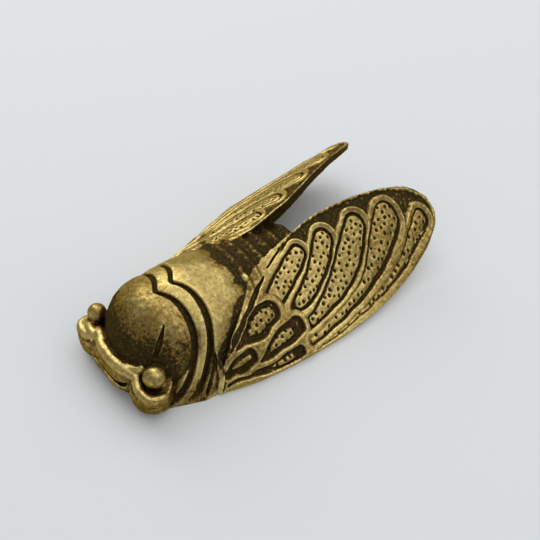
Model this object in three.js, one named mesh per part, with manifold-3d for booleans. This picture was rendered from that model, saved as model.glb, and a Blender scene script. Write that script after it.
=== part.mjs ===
// Cast brass cicada, resting on its flat underside.
// Millimetres. +X is the cicada's left, +Y points to the wing tips, +Z is up.
// The origin is the middle of the footprint on the floor.
import * as THREE from "three";
import Module from "manifold-3d";

const manifold = await Module();
manifold.setup();
const { Manifold, Mesh } = manifold;

// Stations along the body: distance along Y, half width at the floor and height at the midline.
const trunkStations = [
  { y: -18.5, halfWidth: 6.9, height: 10.3 },
  { y: -14, halfWidth: 7.5, height: 10.6 },
  { y: -11.5, halfWidth: 7.7, height: 10.65 },
  { y: -8, halfWidth: 7.5, height: 10.1 },
  { y: -4, halfWidth: 6.8, height: 9.1 },
  { y: 0, halfWidth: 5.8, height: 8.1 },
  { y: 4.9, halfWidth: 4.4, height: 7.5 },
];
const bodyEnd = 4.9;
const footFlareStart = -19.6;
const footFlareSlope = 0.37;
const footFlareLimit = 1.7;

// The head is a swollen dome in front of the first collar groove.
const dome = { centre: [0, -14.5, 3.4], radii: [6.8, 6.15, 7.2] };

// Slit on both cheeks of the dome: x, y, z and half width along it.
const cheekSlit = [
  [3.6, -15.9, 9.3, 0.08],
  [4.13, -16.75, 8.5, 0.22],
  [4.38, -17.3, 7.8, 0.3],
  [4.55, -18.1, 6.6, 0.18],
];
const slitDepth = 0.4;

// Collar grooves: a shallow V over the midline, then a sweep forwards down to the floor.
const collarFront = -14.3;
const collarBack = -12.2;
const kinkDepth = 1.5;
const kinkWidth = 1.6;
const kinkSoftness = 0.35;
const forwardSweep = 6.2;
const forwardPower = 1.9;
const grooveWidth = 0.75;
const grooveDepth = 0.45;
const sweepFadeFrom = -11;
const sweepFadeTo = -5;

// Ribs across the abdomen between the wings.
const ribFirst = -5.3;
const ribPitch = 1.7;
const ribCount = 6;
const ribRise = 0.32;

// Muzzle across the front, with the mouth line low down.
const muzzleHalfWidth = 3.6;
const muzzleCorners = { right: 0.45, left: 0.9 };
const muzzleBow = 0.15;
const muzzleProfile = [
  [-18.6, 0],
  [-18.6, 4.4],
  [-20.6, 4.4],
  [-21.6, 3.9],
  [-22.1, 3.6],
  [-22.4, 3.1],
  [-22.1, 2.75],
  [-22.5, 2.4],
  [-22.25, 1.5],
  [-21.5, 0],
];

// Eyes, their sockets and the lobes that curl round them.
const eye = { x: 5.77, y: -19.2, z: 5.25, leftRadius: 1.3, rightRadius: 1.1 };
const lobe = { x: 5.3, y: -19.6, radius: 2.4, wallTop: 3.7, socketFloor: 3.2, socketRadius: 1.5 };
const rightLobeShift = { inward: 0.45, forward: 0.35 };

// The crest runs over the muzzle and round each eye: x, y, z and radius of the bead.
const crestStations = [
  [0, -21.2, 4.45, 0.76],
  [1.7, -21.05, 4.42, 0.74],
  [2.9, -20.7, 4.32, 0.68],
  [3.7, -20.5, 4.15, 0.62],
  [4.5, -20.8, 3.95, 0.6],
  [5.5, -21.12, 3.82, 0.62],
  [6.5, -21.02, 3.75, 0.62],
  [7.25, -20.4, 3.65, 0.56],
  [7.42, -19.4, 3.45, 0.46],
  [7.1, -18.4, 3.2, 0.22],
];
const crestSteps = 38;
// Where the crest spreads back to the dome beside each eye.
const spreadStations = [
  [2.2, -20.65, 4.4, 0.66],
  [3.0, -20.2, 4.5, 0.62],
  [3.6, -19.8, 4.8, 0.48],
  [3.95, -19.35, 5.3, 0.25],
];
const spreadSteps = 5;
const spreadDrop = 0.9;
const crestDrop = 1.9;

// Knobs where the wings leave the body: x, y, z and radius down to the floor.
const knobStations = [
  [7.3, -12.0, 4.6, 0.2],
  [7.7, -12.2, 3.8, 0.36],
  [8.6, -12.45, 2.3, 0.48],
  [9.0, -12.8, 1.3, 0.55],
  [9.15, -13.1, 0, 0.6],
];

// Wing edges as stations along Y: x and top height of the inner ridge and of the outer edge.
const ridgeStations = [
  { y: -13.3, x: 9.0, z: 0.6 },
  { y: -12.1, x: 8.5, z: 2.6 },
  { y: -11, x: 7.9, z: 4.6 },
  { y: -9, x: 6.9, z: 6.0 },
  { y: -7, x: 5.7, z: 6.8 },
  { y: -5.3, x: 4.6, z: 7.4 },
  { y: -4.1, x: 3.7, z: 7.7 },
  { y: -2.9, x: 3.0, z: 7.9 },
  { y: -1, x: 2.4, z: 8.1 },
  { y: 1, x: 2.0, z: 8.5 },
  { y: 3.1, x: 1.9, z: 9.1 },
  { y: 5.8, x: 1.9, z: 9.7 },
  { y: 8.7, x: 2.3, z: 10.2 },
  { y: 11.9, x: 3.0, z: 10.5 },
  { y: 14.8, x: 3.7, z: 10.4 },
  { y: 18.4, x: 4.7, z: 9.7 },
  { y: 20.1, x: 5.3, z: 9.1 },
  { y: 21.5, x: 6.1, z: 8.2 },
  { y: 22.5, x: 7.1, z: 7.3 },
];
const edgeStations = [
  { y: -13.3, x: 9.5, z: 0.7 },
  { y: -8.9, x: 11.1, z: 0.7 },
  { y: -3.8, x: 12.2, z: 0.7 },
  { y: 0.5, x: 12.75, z: 0.7 },
  { y: 3.5, x: 13.0, z: 0.7 },
  { y: 6.6, x: 13.1, z: 0.75 },
  { y: 10.3, x: 12.95, z: 1.1 },
  { y: 14.4, x: 12.4, z: 1.8 },
  { y: 17.9, x: 11.6, z: 2.8 },
  { y: 20.6, x: 10.6, z: 4.1 },
  { y: 21.8, x: 9.9, z: 5.0 },
  { y: 22.5, x: 8.9, z: 6.1 },
];
const wingRoot = -13.3;
const wingTip = 22.5;
const wingBulge = 0.8;
const rightEdgeInset = 1.1;
const rightRootInset = 1.0;
const ridgeWallHeight = 2.4;
const tipWallHeight = 1.0;
const edgeWallHeight = 0.7;
const wingFillEnd = 3.8;
const wingFillStep = 0.5;
const rimWidth = 0.8;
const rimHeight = 0.3;

// Cells between the wing veins: x, y and half width from the base to the rounded end.
// The vein follows the outline of a cell from one share of it to another.
const wingCells = [
  { name: "upper first", from: 0, to: 1, stations: [
    [6.7, -3.2, 1.06], [5.9, -1.4, 1.27], [4.95, 0.9, 1.35], [4.25, 2.8, 1.18],
  ] },
  { name: "upper second", from: 0.24, to: 1, stations: [
    [8.3, -0.9, 0.68], [7.95, 0.8, 1.03], [7.05, 3.1, 1.2], [6.0, 4.9, 1.36], [4.8, 6.45, 1.38],
  ] },
  { name: "upper third", from: 0.27, to: 1, stations: [
    [10.05, 1.2, 0.76], [9.5, 3.8, 1.1], [8.65, 6.2, 1.5], [7.3, 8.75, 1.7], [5.8, 10.85, 1.52],
  ] },
  { name: "upper fourth", from: 0.3, to: 1, stations: [
    [11.65, 1.4, 0.48], [11.2, 6.0, 0.6], [10.55, 8.9, 0.84], [9.6, 11.1, 1.26], [8.4, 13.2, 1.7],
    [7.15, 15.2, 1.86],
  ] },
  { name: "upper fifth", from: 0.3, to: 0.62, stations: [
    [12.65, 1.6, 0.16], [12.4, 7.4, 0.27], [11.9, 11.6, 0.4], [11.2, 14.6, 0.57], [10.0, 17.5, 0.86],
    [8.9, 20.0, 1.15],
  ] },
  { name: "lower first", from: 0, to: 1, stations: [
    [8.2, -9.0, 0.25], [8.0, -7.0, 0.95], [7.7, -6.0, 1.2], [7.32, -4.05, 1.1],
  ] },
  { name: "lower second", from: 0.1, to: 1, stations: [
    [10.2, -7.0, 0.3], [9.97, -5.0, 0.75], [9.88, -4.0, 0.84], [9.72, -1.95, 0.9],
  ] },
  { name: "root", from: 0, to: 1, stations: [
    [9.15, -12.0, 0.27], [9.3, -11.0, 0.45], [9.4, -10.0, 0.6], [9.5, -8.7, 0.64],
  ] },
  { name: "edge", from: 0, to: 0.6, stations: [
    [10.95, -8.0, 0.17], [11.45, -6.0, 0.4], [11.66, -3.0, 0.5],
  ] },
];
const veinWidth = 0.8;
const veinHeight = 0.36;
const veinRoot = 0.35;
const veinClearance = 0.3;
const outlineStep = 1.8;
const archSteps = 5;
const aheadStep = 0.01;

const mix = (a, b, t) => a + (b - a) * t;
const clamp = (value, low, high) => Math.min(high, Math.max(low, value));

/** Smooth function of y through the stations' values of one key, without overshoot. */
function through(stations, key) {
  const y = stations.map((station) => station.y);
  const value = stations.map((station) => station[key]);
  const last = y.length - 1;
  const slope = y.slice(1).map((next, i) => (value[i + 1] - value[i]) / (next - y[i]));
  const tangent = value.map((_, i) => {
    if (i === 0) return slope[0];
    if (i === last) return slope[last - 1];
    const product = slope[i - 1] * slope[i];
    return product <= 0 ? 0 : (2 * product) / (slope[i - 1] + slope[i]);
  });
  return (at) => {
    const point = clamp(at, y[0], y[last]);
    let i = 0;
    while (i < last - 1 && point > y[i + 1]) i += 1;
    const span = y[i + 1] - y[i];
    const t = (point - y[i]) / span;
    const low = value[i] * (1 + 2 * t) + tangent[i] * span * t;
    const high = value[i + 1] * (3 - 2 * t) - tangent[i + 1] * span * (1 - t);
    return low * (1 - t) ** 2 + high * t ** 2;
  };
}

/** Closed solid from vertices and triangles, turned outwards. */
function solidFrom(vertices, faces) {
  let volume = 0;
  for (const [a, b, c] of faces) {
    volume += vertices[a].dot(vertices[b].clone().cross(vertices[c]));
  }
  const turned = volume < 0 ? faces.map(([a, b, c]) => [a, c, b]) : faces;
  const mesh = new Mesh({
    numProp: 3,
    vertProperties: new Float32Array(vertices.flatMap((vertex) => vertex.toArray())),
    triVerts: new Uint32Array(turned.flat()),
  });
  mesh.merge();
  return new Manifold(mesh);
}

/** Solid through a row of closed rings with equal point counts, capped at both ends. */
function loft(rings) {
  const count = rings[0].length;
  const vertices = rings.flat();
  const faces = [];
  for (let i = 0; i + 1 < rings.length; i += 1) {
    for (let j = 0; j < count; j += 1) {
      const a = i * count + j;
      const b = i * count + ((j + 1) % count);
      faces.push([a, b, b + count], [a, b + count, a + count]);
    }
  }
  const ends = [[rings[0], 0, false], [rings.at(-1), (rings.length - 1) * count, true]];
  for (const [ring, first, flip] of ends) {
    const middle = ring.reduce((sum, p) => sum.add(p), new THREE.Vector3()).divideScalar(count);
    const centre = vertices.push(middle) - 1;
    for (let j = 0; j < count; j += 1) {
      const a = first + j;
      const b = first + ((j + 1) % count);
      faces.push(flip ? [a, b, centre] : [b, a, centre]);
    }
  }
  return solidFrom(vertices, faces);
}

/** Solid from one of the three.js geometries, with its seam vertices joined. */
function solidOf(geometry) {
  const place = geometry.getAttribute("position");
  const index = geometry.getIndex();
  const vertices = [];
  const known = new Map();
  const remap = [];
  for (let i = 0; i < place.count; i += 1) {
    const vertex = new THREE.Vector3().fromBufferAttribute(place, i);
    const name = vertex.toArray().map((value) => Math.round(value * 1e5)).join();
    if (!known.has(name)) known.set(name, vertices.push(vertex) - 1);
    remap.push(known.get(name));
  }
  const faces = [];
  for (let i = 0; i < index.count; i += 3) {
    const face = [remap[index.getX(i)], remap[index.getX(i + 1)], remap[index.getX(i + 2)]];
    if (new Set(face).size === 3) faces.push(face);
  }
  return solidFrom(vertices, faces);
}

const box = (size, centre) => solidOf(new THREE.BoxGeometry(...size).translate(...centre));

const halfWidthAt = through(trunkStations, "halfWidth");
const heightAt = through(trunkStations, "height");

/** How far a collar line moves along Y at one height share of the body. */
function collarShift(across, heightShare) {
  const reach = Math.hypot(across, kinkSoftness) - kinkSoftness;
  const kink = kinkDepth * (1 - Math.exp(-reach / kinkWidth));
  return kink - forwardSweep * (1 - heightShare) ** forwardPower;
}

/** Rise of the abdomen's ribs at one place along the body. */
function ribRiseAt(y) {
  const phase = (y - ribFirst) / ribPitch;
  if (phase < 0 || phase > ribCount) return 0;
  return ribRise * (0.5 - 0.5 * Math.cos(2 * Math.PI * phase));
}

/** Point on the body for a station along it and an angle from the left foot over the back. */
function trunkPoint(along, angle, lift = 0) {
  const share = Math.sin(angle);
  const fade = clamp((sweepFadeTo - along) / (sweepFadeTo - sweepFadeFrom), 0, 1);
  const across = halfWidthAt(along) * Math.cos(angle);
  const y = along + collarShift(across, share) * fade;
  const flare = clamp((y - footFlareStart) * footFlareSlope, 0, footFlareLimit) * (1 - share) ** 3;
  const halfWidth = halfWidthAt(y) + lift + ribRiseAt(along) * share;
  const height = heightAt(Math.max(y, -14.5)) + lift + ribRiseAt(along);
  const side = Math.sign(Math.cos(angle));
  return new THREE.Vector3(halfWidth * Math.cos(angle) + side * flare, y, height * share);
}

/** Collar, thorax and abdomen in one loft, from the first groove to the blunt rear end. */
function buildTrunk() {
  const columns = 22;
  const along = [collarFront, -13.4, collarBack, -11, -9.5, -8, -6.5, ribFirst];
  for (let rib = 0; rib < ribCount; rib += 1) {
    along.push(ribFirst + ribPitch * (rib + 0.5), ribFirst + ribPitch * (rib + 1));
  }
  const ringAt = (y, shrink) => {
    const ring = [];
    for (let j = 0; j <= columns; j += 1) {
      ring.push(trunkPoint(y, (Math.PI * j) / columns, -shrink));
    }
    return ring;
  };
  const rings = along.filter((y) => y <= bodyEnd).map((y) => ringAt(y, 0));
  rings.push(ringAt(bodyEnd, 0.5));
  return loft(rings);
}

function buildDome() {
  const sphere = new THREE.SphereGeometry(1, 26, 16);
  sphere.rotateX(Math.PI / 2);
  return solidOf(sphere.scale(...dome.radii).translate(...dome.centre));
}

/** Square bar that cuts one groove along a collar line over the body. */
function buildCollarGroove(along) {
  const steps = 24;
  const rings = [];
  for (let i = 0; i <= steps; i += 1) {
    const angle = mix(-0.06, Math.PI + 0.06, i / steps);
    const bent = clamp(angle, 0, Math.PI);
    const spread = grooveWidth / 2;
    const before = trunkPoint(along - spread, bent, 0.25);
    const behind = trunkPoint(along + spread, bent, 0.25);
    const floor = trunkPoint(along, bent, -grooveDepth);
    for (const point of [before, behind, floor]) point.z += Math.min(0, Math.sin(angle)) * 12;
    rings.push([before, floor, behind]);
  }
  return loft(rings);
}

/** Wedge that cuts the slit on one cheek of the dome. */
function buildCheekSlit(side) {
  const middle = cheekSlit.map(([x, y, z]) => new THREE.Vector3(side * x, y, z));
  const centre = new THREE.Vector3(...dome.centre);
  const squares = new THREE.Vector3(...dome.radii.map((radius) => radius * radius));
  const rings = middle.map((point, i) => {
    const before = middle[Math.max(i - 1, 0)];
    const after = middle[Math.min(i + 1, middle.length - 1)];
    const out = point.clone().sub(centre).divide(squares).normalize();
    const across = after.clone().sub(before).cross(out).setLength(cheekSlit[i][3] * 2);
    const lifted = point.clone().addScaledVector(out, slitDepth);
    const floor = point.clone().addScaledVector(out, -slitDepth);
    return [lifted.clone().sub(across), floor, lifted.clone().add(across)];
  });
  return loft(rings);
}

/** Broad muzzle with its mouth line, rounded off towards both corners. */
function buildMuzzle() {
  const slices = [-1, -0.85, -0.6, -0.3, 0, 0.3, 0.6, 0.85, 1];
  const rings = slices.map((share) => {
    const corner = share > 0 ? muzzleCorners.left : muzzleCorners.right;
    const back = corner * share ** 4 + muzzleBow * share * share;
    return muzzleProfile.map(([y, z]) => {
      const front = y < -19 ? back : 0;
      return new THREE.Vector3(share * muzzleHalfWidth, y + front, z);
    });
  });
  return loft(rings);
}

/** Lobe round one eye: outer wall, top edge and the sunken socket, turned about the eye. */
function buildLobe(side) {
  const steps = 20;
  const centreX = lobe.x - (side < 0 ? rightLobeShift.inward : 0);
  const centreY = lobe.y - (side < 0 ? rightLobeShift.forward : 0);
  const profile = [
    [0.62, 0],
    [0.74, 0.35],
    [0.9, 0.95],
    [0.99, 1.7],
    [1, 2.9],
    [0.98, lobe.wallTop],
    [lobe.socketRadius / lobe.radius, lobe.wallTop],
    [0.4, lobe.socketFloor],
  ];
  const vertices = [];
  const faces = [];
  for (let i = 0; i < steps; i += 1) {
    const angle = (2 * Math.PI * i) / steps;
    for (const [share, z] of profile) {
      const reach = lobe.radius * share;
      const x = side * (centreX + reach * Math.cos(angle));
      vertices.push(new THREE.Vector3(x, centreY + reach * Math.sin(angle), z));
    }
  }
  const rows = profile.length;
  const bottom = vertices.push(new THREE.Vector3(side * centreX, centreY, 0)) - 1;
  const top = vertices.push(new THREE.Vector3(side * centreX, centreY, lobe.socketFloor)) - 1;
  for (let i = 0; i < steps; i += 1) {
    const a = i * rows;
    const b = ((i + 1) % steps) * rows;
    for (let j = 0; j + 1 < rows; j += 1) {
      faces.push([a + j, b + j, b + j + 1], [a + j, b + j + 1, a + j + 1]);
    }
    faces.push([bottom, b, a], [top, a + rows - 1, b + rows - 1]);
  }
  return solidFrom(vertices, faces);
}

/** Roll of metal through stations of x, y, z and radius: a rounded top with its walls below. */
function buildRoll(stations, steps, drop) {
  const radii = stations.map((station) => station[3]);
  const curve = new THREE.CatmullRomCurve3(stations.map(([x, y, z]) => new THREE.Vector3(x, y, z)));
  const half = Math.SQRT1_2;
  const section = [[1, 0], [half, half], [0, 1], [-half, half], [-1, 0]];
  const rings = [];
  for (let i = 0; i <= steps; i += 1) {
    const t = i / steps;
    const place = curve.getPoint(t);
    const forward = curve.getTangent(t);
    const level = new THREE.Vector3(0, 0, 1).cross(forward).normalize();
    const upright = forward.clone().cross(level).normalize();
    const slot = Math.min(Math.floor(t * (radii.length - 1)), radii.length - 2);
    const radius = mix(radii[slot], radii[slot + 1], t * (radii.length - 1) - slot);
    const pointAt = (across, up) => place.clone().addScaledVector(level, across).addScaledVector(upright, up);
    const ring = section.map(([across, up]) => pointAt(across * radius, up * radius));
    ring.push(pointAt(-radius, -drop), pointAt(radius, -drop));
    rings.push(ring);
  }
  return loft(rings);
}

/** The crest over the muzzle and round each eye, spread back to the dome beside both eyes. */
function buildCrest() {
  const right = crestStations.slice(1).reverse().map(([x, y, z, radius]) => {
    const share = clamp((x - 2) / 3, 0, 1);
    return [rightLobeShift.inward * share - x, y - rightLobeShift.forward * share, z, radius];
  });
  const rolls = [buildRoll([...right, ...crestStations], crestSteps, crestDrop)];
  for (const side of [1, -1]) {
    const spread = spreadStations.map(([x, y, z, radius]) => [side * x, y, z, radius]);
    rolls.push(buildRoll(spread, spreadSteps, spreadDrop));
  }
  return Manifold.union(rolls);
}

/** Knob at the root of one wing, from the body's flank down to the floor. */
function buildKnob(side) {
  const sides = 8;
  const rings = knobStations.map(([x, y, z, radius]) => {
    const ring = [];
    for (let j = 0; j < sides; j += 1) {
      const angle = (2 * Math.PI * j) / sides;
      ring.push(new THREE.Vector3(side * (x + radius * Math.cos(angle)), y + radius * Math.sin(angle), z));
    }
    return ring;
  });
  return loft(rings);
}

function buildEye(side) {
  const ball = new THREE.SphereGeometry(side > 0 ? eye.leftRadius : eye.rightRadius, 14, 9);
  const neck = new THREE.CylinderGeometry(0.7, 0.95, 2.6, 10).rotateX(Math.PI / 2);
  return solidOf(ball.translate(side * eye.x, eye.y, eye.z)).add(
    solidOf(neck.translate(side * (eye.x - 0.15), eye.y + 0.2, eye.z - 1.5)),
  );
}

const ridgeX = through(ridgeStations, "x");
const ridgeZ = through(ridgeStations, "z");
const edgeX = through(edgeStations, "x");
const edgeZ = through(edgeStations, "z");

/** The wing's inner and outer edge at one place along it, for the left or the right wing. */
function wingSpan(y, side) {
  if (side > 0) return [ridgeX(y), edgeX(y)];
  const rootShare = clamp((-2 - y) / 4, 0, 1);
  const edgeShare = clamp((6 - y) / 9, 0, 1);
  return [ridgeX(y) - rightRootInset * rootShare, edgeX(y) - rightEdgeInset * edgeShare];
}

/** Height of the wing's upper face, without rim or veins. */
function wingHeight(x, y, side) {
  const [inner, outer] = wingSpan(y, side);
  const t = clamp((x - inner) / Math.max(outer - inner, 0.01), 0, 1);
  const room = clamp((y - wingRoot) / 8, 0, 1) * Math.sqrt(clamp((22.6 - y) / 6, 0, 1));
  return mix(ridgeZ(y), edgeZ(y), t) + wingBulge * room * 4 * t * (1 - t);
}

/** One wing as a plate: raised rims, sunken field, and an underside that clears the floor. */
function buildWing(side) {
  const rows = 24;
  const rings = [];
  const stations = [];
  for (let i = 0; i <= rows; i += 1) {
    const t = i / rows;
    stations.push(mix(wingTip, wingRoot, (1 - t) ** 1.3));
  }
  stations.push(wingFillEnd, wingFillEnd + wingFillStep);
  stations.sort((a, b) => a - b);
  for (const y of stations) {
    const [inner, outer] = wingSpan(y, side);
    const width = Math.max(outer - inner, 0.05);
    const rim = Math.min(rimWidth / width, 0.2);
    const step = Math.min(0.25 / width, 0.06);
    const sunk = Math.min(rimHeight, width * 0.06);
    const upper = [
      [0, 0],
      [rim, 0],
      [rim + step, -sunk],
      [0.36, -sunk],
      [0.66, -sunk],
      [1 - rim - step, -sunk],
      [1 - rim, 0],
      [1, 0],
    ].sort((a, b) => a[0] - b[0]);
    const tipShare = clamp((y - 4) / (wingTip - 4), 0, 1);
    const wall = mix(ridgeWallHeight, tipWallHeight, tipShare);
    const ring = [];
    for (const [t, drop] of upper) {
      const x = inner + width * t;
      ring.push(new THREE.Vector3(side * x, y, wingHeight(x, y, side) + drop));
    }
    for (const t of [1, 0.66, 0.33, 0]) {
      const x = inner + width * t;
      const under = wingHeight(x, y, side) - mix(wall, edgeWallHeight, t);
      ring.push(new THREE.Vector3(side * x, y, y <= wingFillEnd ? 0 : Math.max(0, under)));
    }
    rings.push(ring);
  }
  return loft(rings);
}

/** Outline of one wing cell: up its inner side, round its end and back down the outer side. */
function cellOutline({ stations, from, to }) {
  const table = stations.map(([x, along, clear], i) => ({ y: i / (stations.length - 1), x, along, clear }));
  const courses = ["x", "along", "clear"].map((key) => through(table, key));
  const spine = (u) => courses.map((course) => course(u));
  const [base, tip] = [spine(0), spine(1)];
  const steps = clamp(Math.round((tip[1] - base[1]) / outlineStep), 3, 7);
  const sidePoint = (u, hand) => {
    const [x, y, clear] = spine(u);
    const halfWidth = clear + veinClearance;
    const [x1, y1] = spine(u - aheadStep);
    const [x2, y2] = spine(u + aheadStep);
    const length = Math.hypot(x2 - x1, y2 - y1);
    return [x - (hand * (y2 - y1) * halfWidth) / length, y + (hand * (x2 - x1) * halfWidth) / length];
  };
  const outline = [];
  for (let i = 0; i <= steps; i += 1) outline.push(sidePoint(i / steps, 1));
  const [x1, y1] = spine(1 - aheadStep);
  const heading = Math.atan2(tip[1] - y1, tip[0] - x1);
  const reach = tip[2] + veinClearance;
  for (let i = 1; i < archSteps; i += 1) {
    const angle = heading + Math.PI / 2 - (Math.PI * i) / archSteps;
    outline.push([tip[0] + reach * Math.cos(angle), tip[1] + reach * Math.sin(angle)]);
  }
  for (let i = steps; i >= 0; i -= 1) outline.push(sidePoint(i / steps, -1));
  const last = outline.length - 1;
  return outline.slice(Math.round(from * last), Math.round(to * last) + 1);
}

/** Raised vein along an outline on the wing's upper face. */
function buildVein(outline, side) {
  const rings = outline.map(([x, y], i) => {
    const [xa, ya] = outline[Math.max(i - 1, 0)];
    const [xb, yb] = outline[Math.min(i + 1, outline.length - 1)];
    const length = Math.hypot(xb - xa, yb - ya);
    const across = [-(yb - ya) / length, (xb - xa) / length];
    const section = [[-0.5, -veinRoot], [0, veinHeight], [0.5, -veinRoot]];
    return section.map(([share, rise]) => {
      const py = clamp(y + across[1] * veinWidth * share, wingRoot, wingTip);
      const [inner, outer] = wingSpan(py, 1);
      const reach = clamp((x + across[0] * veinWidth * share - inner) / (outer - inner), 0.02, 0.98);
      const px = mix(...wingSpan(py, side), reach);
      return new THREE.Vector3(side * px, py, wingHeight(px, py, side) - rimHeight + rise);
    });
  });
  return loft(rings);
}

function buildCicada() {
  const parts = [buildTrunk(), buildDome(), buildMuzzle(), buildCrest()];
  for (const side of [1, -1]) {
    parts.push(buildLobe(side), buildEye(side), buildKnob(side), buildWing(side));
    for (const cell of wingCells) parts.push(buildVein(cellOutline(cell), side));
  }
  const cuts = [buildCollarGroove(collarFront), buildCollarGroove(collarBack)];
  cuts.push(buildCheekSlit(1), buildCheekSlit(-1));
  cuts.push(box([60, 80, 20], [0, 0, -10]));
  return cuts.reduce((solid, cut) => solid.subtract(cut), Manifold.union(parts));
}

/** Geometry with flat normals from a finished solid. */
function geometryOf(solid) {
  const { vertProperties, triVerts } = solid.getMesh();
  const geometry = new THREE.BufferGeometry();
  geometry.setAttribute("position", new THREE.BufferAttribute(new Float32Array(vertProperties), 3));
  geometry.setIndex(new THREE.BufferAttribute(new Uint32Array(triVerts), 1));
  geometry.computeVertexNormals();
  return geometry;
}

const brass = new THREE.MeshStandardMaterial({ color: 0xa8853a, roughness: 0.42, metalness: 1 });
const cicada = new THREE.Mesh(geometryOf(buildCicada()), brass);
cicada.name = "cicada";

const root = new THREE.Group();
root.add(cicada);

export default root;
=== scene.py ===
"""Aged brass cicada: the casting with its carved relief, patina and painted shade, on a pale studio floor."""

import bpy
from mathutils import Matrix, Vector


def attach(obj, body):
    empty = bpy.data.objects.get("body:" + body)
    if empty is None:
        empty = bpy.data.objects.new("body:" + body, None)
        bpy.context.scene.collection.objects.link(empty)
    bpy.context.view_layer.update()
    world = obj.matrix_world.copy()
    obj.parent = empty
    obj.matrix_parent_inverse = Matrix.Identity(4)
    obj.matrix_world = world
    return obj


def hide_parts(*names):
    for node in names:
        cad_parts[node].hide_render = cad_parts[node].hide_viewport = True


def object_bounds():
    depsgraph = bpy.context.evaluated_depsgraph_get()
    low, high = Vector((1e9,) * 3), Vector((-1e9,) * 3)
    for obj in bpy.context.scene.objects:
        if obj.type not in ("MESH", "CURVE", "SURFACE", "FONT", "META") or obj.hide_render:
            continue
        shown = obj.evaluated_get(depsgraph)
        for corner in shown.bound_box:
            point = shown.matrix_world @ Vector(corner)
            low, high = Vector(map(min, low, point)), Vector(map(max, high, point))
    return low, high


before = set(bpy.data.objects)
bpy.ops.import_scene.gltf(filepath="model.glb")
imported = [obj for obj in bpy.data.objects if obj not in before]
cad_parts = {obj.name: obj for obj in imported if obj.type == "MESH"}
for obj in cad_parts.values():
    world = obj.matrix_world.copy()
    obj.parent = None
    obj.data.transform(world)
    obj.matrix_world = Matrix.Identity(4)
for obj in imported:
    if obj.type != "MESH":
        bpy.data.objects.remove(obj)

import copy
import logging
import math
import random
from dataclasses import dataclass, field
from enum import Enum
from typing import Callable

import bmesh
import bpy
import numpy as np
from mathutils import Vector

CAD_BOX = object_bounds()
MILLIMETRE = 0.001
FAR = 1e9
TINY = 1e-9
WELD = 1e-5
NODE = "cicada"
PIECE = "cicada_cast_skin"
SLOT = "aged_brass"

log = logging.getLogger("cicada")

Place = Callable[[np.ndarray, np.ndarray], np.ndarray]
Pair = tuple[float, float]
Triple = tuple[float, float, float]
Quad = tuple[float, float, float, float]
Counts = tuple[int, int]


def smoothstep(low: float | np.ndarray, high: float | np.ndarray, value: np.ndarray) -> np.ndarray:
    """Soft step from 0 to 1 between two limits, or from 1 to 0 where low is above high."""
    t = np.clip((value - low) / (high - low), 0.0, 1.0)
    return t * t * (3.0 - 2.0 * t)


def mix(a: np.ndarray, b: np.ndarray, share: np.ndarray) -> np.ndarray:
    """Straight mix of two values."""
    return a + (b - a) * share


class Course:
    """Smooth value along a row of stations, without overshoot between them."""

    def __init__(self, stations: tuple[tuple[float, ...], ...], column: int) -> None:
        """Prepares the course.

        Args:
            stations: Rows that start with the place along the course.
            column: Which column of the rows holds the value.
        """
        table = np.array(stations, dtype=float)
        self.at, self.value = table[:, 0], table[:, column]
        slope = np.diff(self.value) / np.diff(self.at)
        product = slope[:-1] * slope[1:]
        total = np.where(product > 0, slope[:-1] + slope[1:], 1.0)
        inner = np.where(product > 0, 2 * product / total, 0.0)
        self.tangent = np.concatenate([slope[:1], inner, slope[-1:]])

    def __call__(self, point: np.ndarray) -> np.ndarray:
        """Value at each given place, held at both ends.

        Args:
            point: Places along the course.

        Returns:
            The value at each place.
        """
        point = np.clip(point, self.at[0], self.at[-1])
        i = np.clip(np.searchsorted(self.at, point, side="right") - 1, 0, len(self.at) - 2)
        span = self.at[i + 1] - self.at[i]
        t = (point - self.at[i]) / span
        low = self.value[i] * (1 + 2 * t) + self.tangent[i] * span * t
        high = self.value[i + 1] * (3 - 2 * t) - self.tangent[i + 1] * span * (1 - t)
        return low * (1 - t) ** 2 + high * t**2

    def slope(self, point: np.ndarray) -> np.ndarray:
        """Rise of the value for each unit along the course."""
        step = 0.05
        return (self(point + step) - self(point - step)) / (2 * step)


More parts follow.
